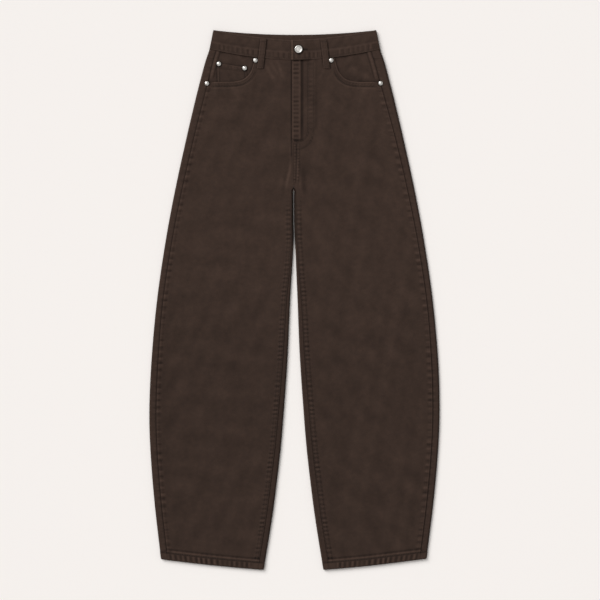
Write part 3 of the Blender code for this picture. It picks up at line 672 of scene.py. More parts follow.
# Distance of every column from the centre line, one row of the grid at a time
def frontPlaces(y, column, side):
    start, end = frontStart(y, side), frontEnd(y, side)
    inner, outer = frontColumns["inner"], frontColumns["outer"]
    middle = frontColumns["toMouth"] + frontColumns["alongMouth"]
    if column < len(inner):
        return start + inner[column]
    if column >= len(inner) + middle:
        return end - outer[column - len(inner) - middle]
    index = column - len(inner) + 1
    first, last = start + inner[-1], end - outer[0]
    onLeg = mix(first, last, index / (middle + 1))
    corner = frontColumns["mouthCorner"]
    if index <= frontColumns["toMouth"]:
        atWaist = mix(first, corner, index / frontColumns["toMouth"])
    else:
        atWaist = mix(corner, last, (index - frontColumns["toMouth"]) / (frontColumns["alongMouth"] + 1))
    return mix(onLeg, atWaist, smooth(y, 230.0, 390.0))


def makeFront(side):
    heights = frontRowHeights()
    count = len(frontColumns["inner"]) + len(frontColumns["outer"])
    count += frontColumns["toMouth"] + frontColumns["alongMouth"]
    outer = np.zeros((len(heights), count, 3))
    inner = np.zeros_like(outer)
    wearAndShade = np.zeros((len(heights), count))
    for column in range(count):
        y = heights.copy()
        for _ in range(5):
            u = frontPlaces(y, column, side)
            mouthEdge = readTable(pocketMouth, np.maximum(u, 76.0))
            topEdge = np.where(u < 76.0, frontBandSeam(u) - cut["seamHalf"], mouthEdge)
            topShare = smooth(heights, 300.0, cut["waistRow"])
            # close rows keep their spacing near the top edge
            bottomShare = 1.0 - smooth(heights, cut["hemRow"], -330.0)
            y = heights + (topEdge - cut["waistRow"]) * topShare
            y = y + (hemLine(u) + cut["hemHeight"] - cut["hemRow"]) * bottomShare
        mouth = distanceToMouth(u, y)
        level, fine = frontSurface(u, y, side, mouth)
        outer[:, column] = np.stack([sides[side] * u, y, level + fine], axis=1)
        inner[:, column] = np.stack([sides[side] * u, y, level - cut["wall"]], axis=1)
        wearAndShade[:, column] = wearAndShadeFrom(fine) + rimWearAndShade(u, y, side, mouth)
    piece = clothMesh("front_cloth_" + side, outer, inner, wearAndShade, clothTwill, flip=side == "L")
    layFlat(["front_panel_" + side])
    return piece


mouthPath = [(u, float(readTable(pocketMouth, u))) for u in
             (76.0, 77.5, 79.0, 81.0, 84.0, 88.0, 92.0, 96.5, 102.0, 108.0, 114.0, 125.0, 137.0, 190.0)]


def distanceToMouth(u, y):
    return distanceToPath(u, y, mouthPath)


# Edges paled by rubbing and by painted highlight, a painted highlight along the fly, and painted shade as the dark
# line in a seam, in stitch grooves and against loops and metal
def rimWearAndShade(u, y, side, mouth):
    fromOutseam = frontEnd(y, side) - u
    fromStart = u - frontStart(y, side)
    x = u * sides[side]
    wearAndShade = 0.3 * bump(fromOutseam - 1.6, 1.0) - 0.8 * bump(fromOutseam, 0.9)
    wearAndShade = wearAndShade - 0.35 * bump(fromStart, 0.8) * (1.0 - smooth(y, 215.0, 225.0))
    inMouth = smooth(u, 72.0, 79.0) * (1.0 - smooth(u, 160.0, 170.0))
    rolled = 0.25 * bump(mouth - 1.2, 1.2) - 0.35 * bump(mouth - 8.9, 1.5) + 0.1 * bump(mouth - 12.0, 1.6)
    wearAndShade = wearAndShade + inMouth * rolled
    onFly = smooth(y, 302.0, 308.0)
    inJ = smooth(y, 322.0, 340.0)
    if side == "L":
        wearAndShade = wearAndShade + 1.1 * bump(fromStart - 1.0, 1.2) * onFly + 0.2 * bump(fromStart - 14.2, 1.8) * onFly
        wearAndShade = wearAndShade - 0.3 * bump(fromStart - 19.0, 2.0) * inJ
        wearAndShade = wearAndShade - inJ * (0.22 * bump(x - 25.5, 1.6) - 0.12 * bump(x - 33.8, 2.2) + 0.25 * bump(x - 41.0, 2.4))
        for path in flyStitchPaths():
            wearAndShade = wearAndShade - 0.3 * bump(distanceToPath(x, y, path), 1.2) * (1.0 - inJ)
        bar = (1.0 - smooth(np.abs(x - 5.0), 6.0, 8.0))
        wearAndShade = wearAndShade + bar * (0.3 * bump(y - 311.0, 1.4) - 0.55 * bump(y - 307.4, 1.3))
    else:
        wearAndShade = wearAndShade - 0.3 * bump(u - 6.6, 1.3) * smooth(y, 274.0, 280.0)
        wearAndShade = wearAndShade - 0.07 * bump(u - 14.0, 8.0) * smooth(y, 340.0, 360.0)
    aboveHem = y - hemLine(u) - cut["hemHeight"]
    wearAndShade = wearAndShade + 0.25 * bump(aboveHem - 1.5, 1.3) - 0.12 * bump(aboveHem - 5.6, 1.8)
    return wearAndShade + contactShade(x, y)


for side in sides:
    makeFront(side)
print("fronts made")


# One section across a leg: outseam lip, outer fold, underside, inner fold and inseam lip
def outerRoll(y, angle, inset):
    radius = foldRadius(y)
    reach = radius - inset
    u = outerEdge(y) - radius + reach * math.cos(angle)
    return u, waistLift(y) + radius + reach * math.sin(angle)


def lipFine(y, fromSeam, side):
    fine = 0.1 * pucker(y, 14.6, 31 if side == "R" else 32) * bump(fromSeam - 2.5, 3.0)
    fine = fine + 0.07 * pucker(y, 6.1, 34) * bump(fromSeam - 4.0, 4.0)
    return fine - 0.1 * bump(fromSeam - 1.0, 1.2) + 0.04 * bump(fromSeam - 4.0, 1.6)


def innerStrip(y, kind, share, inset, side):
    radius = foldRadius(y)
    edge = innerEdge(y)
    turn = math.pi * (1.0 - smooth(y, *cut["turnRows"]))
    curled = turn / math.pi
    flatReach = edge + radius - cut["seamHalf"]
    fullReach = math.pi * radius + readTable(inseamInset, y) - radius - cut["seamHalf"]
    reach = mix(flatReach, fullReach, curled)
    cosine = np.maximum(np.cos(turn), 0.05)
    limit = radius * turn + (edge + radius - radius * np.sin(turn) - cut["seamHalf"]) / cosine
    reach = np.where(turn < math.pi / 2 - 0.05, np.minimum(reach, limit), reach)
    bendLength = np.minimum(mix(flatReach * 0.6, math.pi * radius, curled), reach)
    along = bendLength * share if kind == "roll" else mix(bendLength, reach, share)
    bend = np.minimum(along / radius, turn)
    rest = along - bend * radius
    r = radius - inset
    u = edge + radius - r * np.sin(bend) - rest * np.cos(bend)
    return u, waistLift(y) + radius - r * np.cos(bend) + rest * np.sin(bend)


def undersideHeight(u, y):  # flat, lifted over the patch pockets
    across = smooth(u, 1.0, 14.0) * (1.0 - smooth(u, 172.0, 185.0))
    along = smooth(y, 215.0, 228.0) * (1.0 - smooth(y, 410.0, 423.0))
    return waistLift(y) + 1.5 * across * along


backColumns = (
    [("lip", share) for share in (0.0, 0.06, 0.14, 0.24, 0.36, 0.5, 0.66, 0.84)]
    + [("outer", share) for share in np.linspace(0.0, 1.0, 11)]
    + [("under", share) for share in (0.015, 0.04, 0.08, 0.14, 0.2, 0.27, 0.34, 0.41, 0.48, 0.55, 0.62,
                                      0.69, 0.76, 0.83, 0.9, 0.95, 0.98, 1.0)]
    + [("roll", share) for share in np.linspace(0.1, 1.0, 10)]
    + [("inseam", share) for share in (0.2, 0.4, 0.6, 0.78, 0.92, 1.0)]
)


# Point of a back at one column, with its fine relief. A yoke reaches to the centre seam
def backPlace(y, column, inset, side, toCentre=False):
    kind, share = column
    fine = 0.0 * y
    if kind == "lip":
        fromSeam = share * (outseamDistance(y, side) - foldRadius(y))
        u = frontEnd(y, side) + 2.0 * cut["seamHalf"] + fromSeam
        fine = lipFine(y, fromSeam, side)
        return u, topLevel(y) - inset, fine
    if kind == "outer":
        angle = math.pi / 2 - math.pi * share
        u, z = outerRoll(y, angle, inset)
        return u, z, 0.06 * pucker(y, 6.1, 34) * max(0.0, math.sin(angle)) * (share < 0.45)
    if kind == "under":
        start = outerEdge(y) - foldRadius(y)
        end = cut["seamHalf"] + 0.0 * y if toCentre else innerEdge(y) + foldRadius(y)
        u = mix(start, end, share)
        # creases press up into the cloth that lies on the floor, never below it
        soft = 0.35 * np.maximum(crumple(u, y, 60.0, 81 if side == "R" else 82), 0.0)
        soft = soft * smooth(u - end, 6.0, 24.0) * smooth(start - u, 6.0, 24.0)
        return u, undersideHeight(u, y) + soft + inset, -soft
    u, z = innerStrip(y, "roll" if kind == "roll" else "lip", share, inset, side)
    if kind == "inseam":
        fine = 0.07 * pucker(y, 7.1, 91) * share - 0.1 * (1.0 - share)
        z = z + fine * (1.0 - smooth(y, 190.0, 205.0))
    return u, z, fine


# Painted shade on the folds that face away from the light, beside the seam of each lip and in the narrow gap at the
# crotch; a little painted light on the folds that face the light and on the lips
def edgeShadeOfBack(column, y, side):
    kind, share = column
    if kind == "lip":
        return -0.35 * math.exp(-(share / 0.07) ** 2) + 0.06 * math.exp(-((share - 0.8) / 0.2) ** 2)
    crotch = smooth(y, 100.0, 122.0) * (1.0 - smooth(y, 222.0, 228.0))
    if kind == "inseam":
        return -0.35 * math.exp(-((1.0 - share) / 0.08) ** 2) - 0.3 * crotch * (1.0 - share)
    if kind == "outer":
        return 0.08 if side == "R" else -0.4
    if kind == "roll":
        return (-0.4 if side == "R" else 0.08) - 0.8 * crotch
    return 0.0


def makeBack(side):
    heights = mix(cut["yokeSide"], cut["hemRow"], np.linspace(0.0, 1.0, 560))
    count = len(backColumns)
    outer = np.zeros((len(heights), count, 3))
    inner = np.zeros_like(outer)
    wearAndShade = np.zeros((len(heights), count))
    for index, column in enumerate(backColumns):
        y = heights.copy()
        onTop = index < 14
        for _ in range(4):
            u = backPlace(y, column, 0.0, side)[0]
            seam = cut["yokeSide"] if onTop else yokeSeam(u)
            topShare = smooth(heights, 230.0, cut["yokeSide"])
            bottomShare = 1.0 - smooth(heights, cut["hemRow"], -330.0)
            y = heights + (seam - cut["seamHalf"] - cut["yokeSide"]) * topShare
            y = y + (hemLine(u) + cut["hemHeight"] - cut["hemRow"]) * bottomShare
        u, z, fine = backPlace(y, column, 0.0, side)
        z = z + (fine if column[0] == "lip" else 0.0)
        outer[:, index] = np.stack([sides[side] * u, y, z], axis=1)
        u2, z2, _ = backPlace(y, column, cut["wall"], side)
        inner[:, index] = np.stack([sides[side] * np.maximum(u2, cut["seamHalf"]), y, z2], axis=1)
        wearAndShade[:, index] = wearAndShadeFrom(fine) + edgeShadeOfBack(column, y, side)
    piece = clothMesh("back_cloth_" + side, outer, inner, wearAndShade, clothTwill, flip=side == "R")
    layFlat(["back_panel_" + side])
    return piece


def makeYoke(side):
    columns = backColumns[:19] + [("under", share) for share in np.linspace(0.03, 1.0, 40)]
    shares = np.linspace(0.0, 1.0, 26)
    outer = np.zeros((len(shares), len(columns), 3))
    inner = np.zeros_like(outer)
    wearAndShade = np.zeros((len(shares), len(columns)))
    for index, column in enumerate(columns):
        y = np.full(len(shares), cut["yokeSide"])
        onTop = index < 14
        for _ in range(5):
            u = backPlace(y, column, 0.0, side, toCentre=True)[0]
            low = cut["yokeSide"] if onTop else yokeSeam(u)
            high = frontBandSeam(u) if onTop else backBandSeam(u)
            y = mix(high - cut["seamHalf"], low + cut["seamHalf"], shares)
        u, z, fine = backPlace(y, column, 0.0, side, toCentre=True)
        z = z + (fine if column[0] == "lip" else 0.0)
        outer[:, index] = np.stack([sides[side] * u, y, z], axis=1)
        u2, z2, _ = backPlace(y, column, cut["wall"], side, toCentre=True)
        inner[:, index] = np.stack([sides[side] * u2, y, z2], axis=1)
        wearAndShade[:, index] = wearAndShadeFrom(fine) + edgeShadeOfBack(column, y, side)
    piece = clothMesh("yoke_cloth_" + side, outer, inner, wearAndShade, clothTwill, flip=side == "R", innerStep=2)
    layFlat(["yoke_" + side])
    return piece


for side in sides:
    makeBack(side)
    makeYoke(side)
print("backs and yokes made")


hem = {"raise": 0.8, "wall": 2.2, "pitch": 10.0, "rope": 0.44, "slant": 0.12, "stitchDrop": 0.4}


# The turned-up hem, one closed band round each leg
def makeHem(side):
    columns = [("top", share) for share in np.linspace(0.0, 1.0, 120)]
    columns += [("outer", share) for share in np.linspace(0.0, 1.0, 11)[1:-1]]
    columns += [("under", share) for share in np.linspace(0.0, 1.0, 90)]
    columns += [("roll", share) for share in np.linspace(0.0, 1.0, 11)[1:-1]]
    rises = np.array([0.0, 0.35, 0.9, 1.8, 3.0, 4.4, 6.0, 7.6, 9.2, 10.8, 12.2, 13.4, 14.2, 14.9, 15.35])
    outer = np.zeros((len(rises), len(columns), 3))
    inner = np.zeros_like(outer)
    wearAndShade = np.zeros((len(rises), len(columns)))
    rounding = 0.75 * np.exp(-rises / 0.35)
    raised = smooth(rises, 15.6, 13.6)
    body = smooth(rises, 0.2, 3.0) * (1.0 - smooth(rises, 10.0, 13.6))
    for index, (kind, share) in enumerate(columns):
        y = np.full(len(rises), -510.0)
        for _ in range(4):
            if kind == "top":
                u = mix(innerEdge(y) + foldRadius(y), outerEdge(y) - foldRadius(y), share)
            else:
                u = backPlace(y, (kind, share), 0.0, side)[0]
            y = hemLine(u) + rises
        across = u[0]
        wave = pucker(across - hem["slant"] * rises, hem["pitch"], 101)
        rope = hem["rope"] * body * (2.0 * (0.5 + 0.5 * np.clip(wave, -1.0, 1.0)) ** 1.5 - 0.8)
        flatEnds = smooth(across, 80.0, 86.0) * (1.0 - smooth(across, 236.0, 241.0))
        # near both seams the band is thick and lies smooth
        rope = rope * (0.12 + 0.88 * flatEnds) + 0.08 * body * (1.0 - flatEnds)
        stitch = -hem["stitchDrop"] * bump(rises - 13.9, 1.3)
        if kind == "top":
            z = topLevel(y) + hem["raise"] * raised + rope - rounding
            seamDip = 0.35 * (bump(u - innerEdge(y) - 11.5, 0.8) + bump(outerEdge(y) - 13.0 - u, 0.8))
            z = z - seamDip
            outer[:, index] = np.stack([sides[side] * u, y, z + stitch], axis=1)
            inner[:, index] = np.stack([sides[side] * u, y, z - hem["wall"] + 0.5 * rounding], axis=1)
            # Painted shade along the hem's bottom edge, and painted highlight on the ropes' ridges
            wearAndShade[:, index] = wearAndShadeFrom(rope + stitch - seamDip, 1.6) - 0.3 * bump(rises, 1.2)
            wearAndShade[:, index] += 0.12 * (1.0 - flatEnds) * body
        elif kind == "under":
            lift = 0.2 + 0.3 * np.abs(rope)
            outer[:, index] = np.stack([sides[side] * u, y, lift + rounding], axis=1)
            inner[:, index] = np.stack([sides[side] * u, y, lift + 1.4 + 0.0 * u], axis=1)
            # Painted shade under the top edge of the hem
            wearAndShade[:, index] = 0.3 * rope - 0.3 * bump(rises - 14.6, 0.9)
        else:
            radius = foldRadius(y)
            angle = math.pi / 2 - math.pi * share if kind == "outer" else -math.pi / 2 - math.pi * share
            centre = outerEdge(y) - radius if kind == "outer" else innerEdge(y) + radius
            grow = hem["raise"] * raised * 0.6 * (0.5 + 0.5 * math.sin(angle)) + 0.25 * rope
            reach = radius + grow - rounding
            lifted = radius + hem["raise"] * raised * 0.2
            outer[:, index] = np.stack([sides[side] * (centre + reach * math.cos(angle)), y,
                                        lifted + reach * math.sin(angle)], axis=1)
            reach = radius - 1.6
            inner[:, index] = np.stack([sides[side] * (centre + reach * math.cos(angle)), y,
                                        lifted + reach * math.sin(angle)], axis=1)
            # A little painted light on the folds, and painted shade under the hem's top edge
            wearAndShade[:, index] = 0.1 - 0.4 * bump(rises - 14.6, 0.9)
    outer[..., 2] = np.maximum(outer[..., 2], 0.1)
    piece = clothMesh("hem_cloth_" + side, outer, inner, wearAndShade, clothTwill, flip=side == "R",
                      innerStep=2, closed=True)
    layFlat(["front_panel_" + side, "back_panel_" + side])
    return piece


for side in sides:
    makeHem(side)
print("hems made")


waistband = {
    "height": 38.0, "level": 6.9, "wall": 2.4, "ridgeRaise": 0.8, "ridgeEdge": (0.37, 0.47),
    "overlapRaise": 2.7, "overEnd": -6.4, "underEnd": 14.0,
    "overlapRamp": (16.0, 38.0), "pitch": 9.6, "pucker": 0.2, "step": 2.0, "rows": 26,
    "stitchShares": (0.065, 0.93),
}
bandHeight = waistband["height"]


# Places along the band from its hidden right end, round the back, to the left end on top
def bandRoute():
    step = waistband["step"]
    route = [("front", x) for x in np.arange(waistband["underEnd"], -150.0, -step)]
    route += [("right", share) for share in np.linspace(0.0, 1.0, 13)]
    route += [("back", x) for x in np.arange(-148.0, 148.1, step)]
    route += [("left", share) for share in np.linspace(1.0, 0.0, 13)]
    near = list(np.arange(150.0, waistband["overEnd"] + 2.0, -step))
    return route + [("over", x) for x in near + [waistband["overEnd"] + d for d in (1.6, 0.8, 0.3, 0.0)]]


def bandFine(place, share, seed):
    low = smooth(share, 0.05, 0.12) * (1.0 - smooth(share, 0.28, 0.4))
    fine = waistband["pucker"] * low * (pucker(place, waistband["pitch"], seed) + 0.5 * pucker(place, 5.0, seed + 3))
    fine = fine + 0.06 * (1.0 - low) * crumple(place, bandHeight * share, 22.0, seed + 1)
    for stitched in waistband["stitchShares"]:
        fine = fine - 0.2 * bump((share - stitched) * bandHeight, 1.0)
    return fine + 0.16 * bump((share - 0.37) * bandHeight, 1.6) - 0.1 * bump((share - 0.47) * bandHeight, 2.4)


# Painted highlight along the band's top and bottom edges and over its upper half, and painted contact shade, on top
# of wear
def bandWearAndShade(x, y, share, fine):
    wearAndShade = wearAndShadeFrom(fine) + 0.3 * bump((share - 0.965) * bandHeight, 1.2) + 0.16 * smooth(share, 0.55, 1.0)
    wearAndShade = wearAndShade + 0.22 * bump((share - 0.03) * bandHeight, 1.2)
    return wearAndShade + contactShade(x, y)


def makeWaistband():
    shares = np.linspace(0.0, 1.0, waistband["rows"])
    shares[1], shares[-2] = 0.012, 0.985
    route = bandRoute()
    outer = np.zeros((len(shares), len(route), 3))
    inner = np.zeros_like(outer)
    wearAndShade = np.zeros((len(shares), len(route)))
    ridge = waistband["ridgeRaise"] * (1.0 - smooth(shares, *waistband["ridgeEdge"]))
    topRound = 0.8 * smooth(shares, 0.965, 1.0)
    for index, (kind, value) in enumerate(route):
        if kind in ("front", "over"):
            x = value + 0.0 * shares
            y = mix(frontBandSeam(x) + cut["seamHalf"], frontBandTop(x), shares)
            fine = bandFine(x, shares, 111)
            z = waistband["level"] + ridge + 0.0 * shares
            if kind == "over":
                low, high = waistband["overlapRamp"]
                over = 1.0 - smooth(x, low, high)
                z = z + (waistband["overlapRaise"] + waistband["ridgeRaise"]) * over
                endRound = 0.9 * np.exp(-(x - waistband["overEnd"]) / 0.5)
                z = z - endRound
                fromEnd = x - waistband["overEnd"]
                fine = fine + 0.3 * bump(fromEnd - 1.6, 0.9) - 0.28 * bump(fromEnd - 3.4, 0.8)
                # the keyhole of the buttonhole shows as a slit beside the button
                slit = bump(y - 483.0, 0.9) * smooth(x, 14.5, 16.0) * (1.0 - smooth(x, 24.0, 26.0))
                fine = fine - 0.7 * slit
            else:
                # the cloth under the lap lies lower
                under = smooth(x, -14.0, -7.0)
                fine = fine * (1.0 - under) - 0.1 * under
            innerZ = z - ridge - waistband["wall"]
            z = z + fine - topRound
            u = x
        elif kind == "back":
            x = value + 0.0 * shares
            y = mix(backBandSeam(x) + cut["seamHalf"], backBandTop(x), shares)
            lifted = waistLift(y)
            press = 0.1 * bump((shares - 0.93) * bandHeight, 0.9) + 0.1 * bump((shares - 0.065) * bandHeight, 0.9)
            z = lifted + 0.12 + press + 0.3 * topRound
            # the inner face shows above the front, with its own row of stitches
            inside = 0.06 * crumple(x, y, 20.0, 117) - 0.3 * bump((shares - 0.9) * bandHeight, 0.9)
            inside = inside + 0.14 * pucker(x, 9.0, 118) * bump((shares - 0.84) * bandHeight, 2.5)
            innerZ = lifted + waistband["wall"] + inside - 0.5 * topRound
            fine = -press
            u = x
        else:
            angle = math.pi / 2 - math.pi * value
            y = np.full(len(shares), 500.0)
            for _ in range(4):
                radius = foldRadius(y)
                u = outerEdge(y) - radius * (1.0 - math.cos(angle))
                if angle > 0.001:
                    y = mix(frontBandSeam(u) + cut["seamHalf"], frontBandTop(u), shares)
                else:
                    y = mix(backBandSeam(u) + cut["seamHalf"], backBandTop(u), shares)
            fine = bandFine(value * 10.0 + 160.0 + 0.0 * shares, shares, 111) * (1.0 - value) ** 2
            onTop = 0.5 + 0.5 * math.sin(angle)
            reach = radius + ridge * onTop * max(0.0, math.sin(angle)) + fine - topRound * 0.6
            u = outerEdge(y) - radius + reach * math.cos(angle)
            z = waistLift(y) + radius + reach * math.sin(angle)
            z = np.maximum(z, waistLift(y) + 0.1)
            if kind == "right":
                u = -u
            reach = np.maximum(radius - waistband["wall"], 0.2)
            innerU = outerEdge(y) - radius + reach * math.cos(angle)
            innerZ = waistLift(y) + radius + reach * math.sin(angle)
            innerU = -innerU if kind == "right" else innerU
            inner[:, index] = np.stack([innerU, y, innerZ], axis=1)
        outer[:, index] = np.stack([u, y, z], axis=1)
        if kind in ("front", "over", "back"):
            inner[:, index] = np.stack([u, y, innerZ], axis=1)
        wearAndShade[:, index] = bandWearAndShade(u, y, shares, fine) if kind != "back" else wearAndShadeFrom(fine)
        # Painted highlight along the edge of the band's overlap
        if kind == "over":
            wearAndShade[:, index] += 1.1 * np.exp(-((value - waistband["overEnd"] - 0.8) / 1.2) ** 2)
    piece = clothMesh("waistband_cloth", outer, inner, wearAndShade, clothTwill, innerStep=1)
    layFlat(["waistband"])
    return piece


makeWaistband()
print("waistband made")


facing = {
    "inner": 58.0, "bottom": 396.0, "drop": 1.5, "dropAtSeam": 0.5, "wall": 1.0, "riseRows": (427.0, 437.0),
}


def facingLevel(u, y, side):
    seam = outerEdge(y) - outseamDistance(y, side)
    rising = smooth(u, seam - 14.0, seam - 3.0) * smooth(y, *facing["riseRows"])
    return topLevel(y) - mix(facing["drop"], facing["dropAtSeam"], rising)


coinPocket = {
    "topOuter": (149.5, 457.5), "topInner": (93.5, 448.5), "bottomOuter": (149.0, 412.0),
    "bottomInner": (90.0, 412.0), "wall": 1.2, "stitches": (4.2, 8.6),
    "height": 41.0, "width": 57.0,
}
coinOutline = [coinPocket["topInner"], coinPocket["topOuter"], coinPocket["bottomOuter"]]


# Cloth seen inside a pocket mouth
def makeFacing(side):
    across = np.concatenate([np.linspace(0.0, 0.88, 48), np.linspace(0.895, 1.0, 14)])
    down = np.linspace(0.0, 1.0, 42)
    grid = np.zeros((len(down), len(across), 3))
    under = np.zeros_like(grid)
    wearAndShade = np.zeros((len(down), len(across)))
    for index, share in enumerate(across):
        y = np.full(len(down), 440.0)
        for _ in range(4):
            end = frontEnd(y, side)
            u = mix(facing["inner"], end, share)
            y = mix(frontBandSeam(u) - cut["seamHalf"], facing["bottom"], down)
        fromSeam = end - u
        ridge = smooth(y, 424.0, 432.0) * (0.35 * bump(fromSeam - 4.5, 2.6) - 0.3 * bump(fromSeam - 9.0, 1.2))
        fine = ridge + 0.09 * crumple(u, y, 18.0, 121) * smooth(fromSeam, 8.0, 16.0)
        fine = fine - 0.25 * bump(fromSeam, 0.8) + 0.1 * pucker(y, 7.0, 122) * bump(fromSeam - 4.5, 3.0)
        level = facingLevel(u, y, side)
        # the mouth's edge and the coin pocket shade the cloth below them
        shaded = 0.6 * np.exp(-np.maximum(distanceToMouth(u, y), 0.0) / 3.0)
        if side == "R":
            shaded = shaded + 0.5 * bump(distanceToPath(u, y, coinOutline) - 1.0, 1.5)
        shaded = shaded - contactShade(sides[side] * u, y)
        grid[:, index] = np.stack([sides[side] * u, y, level + np.minimum(fine, 0.35)], axis=1)
        under[:, index] = np.stack([sides[side] * u, y, level - facing["wall"]], axis=1)
        wearAndShade[:, index] = wearAndShadeFrom(fine) - shaded
    piece = clothMesh("facing_cloth_" + side, grid, under, wearAndShade, shadedInsideTwill, flip=side == "L", innerStep=3)
    layFlat(["pocket_facing_" + side])
    return piece


def coinPlace(across, down):
    corner = coinPocket
    u = mix(mix(corner["topInner"][0], corner["topOuter"][0], across),
            mix(corner["bottomInner"][0], corner["bottomOuter"][0], across), down)
    y = mix(mix(corner["topInner"][1], corner["topOuter"][1], across),
            mix(corner["bottomInner"][1], corner["bottomOuter"][1], across), down)
    return u, y


def makeCoinPocket():
    across, down = np.meshgrid(np.linspace(0.0, 1.0, 40), np.linspace(0.0, 1.0, 34))
    u, y = coinPlace(across, down)
    base = facingLevel(u, y, "R") + 0.3
    fromTop = down * coinPocket["height"]
    fromSide = np.minimum(across, 1.0 - across) * coinPocket["width"]
    fine = 0.2 * pucker(u, 6.2, 131) * bump(fromTop - 4.2, 1.8) + 0.04 * crumple(u, y, 16.0, 132)
    fine = fine - 0.22 * bump(fromTop - coinPocket["stitches"][1], 1.2)
    fine = fine - 0.22 * bump(fromSide - 4.4, 1.1) * smooth(fromTop, 8.0, 11.0)
    rounded = 0.7 * np.exp(-np.minimum(fromTop, fromSide) / 0.6)
    top = base + coinPocket["wall"] + fine - rounded
    # Edges paled by rubbing and painted highlight, painted shade under the pocket mouth and around the metal
    wearAndShade = wearAndShadeFrom(fine) + 0.3 * bump(fromTop - 0.8, 1.1) + 0.25 * bump(fromSide - 1.0, 1.1)
    wearAndShade = wearAndShade - 0.5 * np.exp(-distanceToMouth(u, y) / 2.6) - 0.08 + contactShade(-u, y)
    grid = np.stack([-u, y, top], axis=2)
    under = np.stack([-u, y, base], axis=2)
    piece = clothMesh("coin_pocket_cloth", grid, under, wearAndShade, clothTwill, innerStep=3, flip=True)
    layFlat(["coin_pocket"])
    return piece


for side in sides:
    makeFacing(side)
makeCoinPocket()
print("front pockets made")


# Patch pockets on the backs. Columns: distance from the centre line, height
backPocketCorners = [(28.0, 384.0), (158.0, 396.0), (148.0, 264.0), (95.0, 242.0), (37.0, 258.0)]


# Lies between the back and the floor, hemmed at the top
def makeBackPocket(side):
    across, down = np.meshgrid(np.linspace(0.0, 1.0, 53), np.linspace(0.0, 1.0, 56))
    (u0, y0), (u1, y1), (u2, y2), (u3, y3), (u4, y4) = backPocketCorners
    foot = np.where(across < 0.5, mix(y4, y3, np.minimum(across / 0.52, 1.0)),
                    mix(y3, y2, np.clip((across - 0.52) / 0.48, 0.0, 1.0)))
    u = mix(mix(u0, u1, across), mix(u4, u2, across), down)
    y = mix(mix(y0, y1, across), foot, down)
    edge = np.minimum(np.minimum(across, 1.0 - across) * 120.0, np.minimum(down, 1.0 - down) * 130.0)
    rounded = 0.6 * np.exp(-edge / 0.7)
    fine = -0.16 * (bump(edge - 2.0, 0.8) + bump(edge - 8.4, 0.8))
    fine = fine + 0.16 * np.minimum(crumple(u, y, 26.0, 141), 0.0)
    lower = 0.12 - fine + rounded
    grid = np.stack([sides[side] * u, y, lower], axis=2)
    upper = np.stack([sides[side] * u, y, 1.25 - 0.3 * rounded], axis=2)
    wearAndShade = wearAndShadeFrom(fine) + 0.4 * bump(edge - 0.7, 0.8)
    piece = clothMesh("back_pocket_cloth_" + side, grid, upper, wearAndShade, clothTwill, innerStep=4, flip=side == "R")
    layFlat(["back_pocket_" + side])
    return piece


for side in sides:
    makeBackPocket(side)
print("back pockets made")


# Height of a loop's lower face: front loops cross the ridge of the band, back loops lie on the floor
def loopLow(place, share, bottom):
    if place != "front":
        return 1.28 + 0.0 * share
    onRidge = smooth(share, 0.28, 0.4) * (1.0 - smooth(share, 0.74, 0.86))
    low = mix(7.2, 8.0, onRidge)
    return np.where(share > 0.9, float(topLevel(bottom)) + 0.3, low)


def makeBeltLoop(number, row):
    place, topX, top, bottomX, bottom, width = row
    across, share = np.meshgrid(np.linspace(-0.5, 0.5, 17), np.linspace(0.0, 1.0, 60))
    x = mix(topX, bottomX, share) + across * width
    y = mix(top, bottom, share)
    low = loopLow(place, share, bottom)
    fromEdge = (0.5 - np.abs(across)) * width
    fromEnd = np.minimum(share, 1.0 - share) * (top - bottom)
    crown = 0.35 * (1.0 - (2.0 * across) ** 2) - 0.6 * np.exp(-fromEdge / 0.45) - 0.5 * np.exp(-fromEnd / 0.5)
    fine = -0.25 * bump(fromEdge - 2.3, 0.7) + 0.06 * pucker(y, 6.0, 150 + number)
    fine = fine - 0.22 * bump(fromEnd - 4.5, 0.9)
    # Painted light over the loop, brighter along its edges and ends, where rubbing also pales them
    wearAndShade = wearAndShadeFrom(fine) + 0.12 + 0.25 * bump(fromEdge - 0.9, 0.9) + 0.2 * bump(fromEnd - 0.9, 0.9)
    if place == "front":
        face = low + 1.3 + crown + fine
    else:
        face = np.maximum(0.12 - crown - fine, 0.08)
    grid = np.stack([x, y, face], axis=2)
    behind = np.stack([x, y, low], axis=2)
    piece = clothMesh("loop_cloth_%d" % number, grid, behind, wearAndShade, clothTwill, innerStep=3,
                      flip=place == "front")
    layFlat(["belt_loop_%d" % number])
    return piece


for number, row in enumerate(beltLoops, 1):
    makeBeltLoop(number, row)
print("belt loops made")


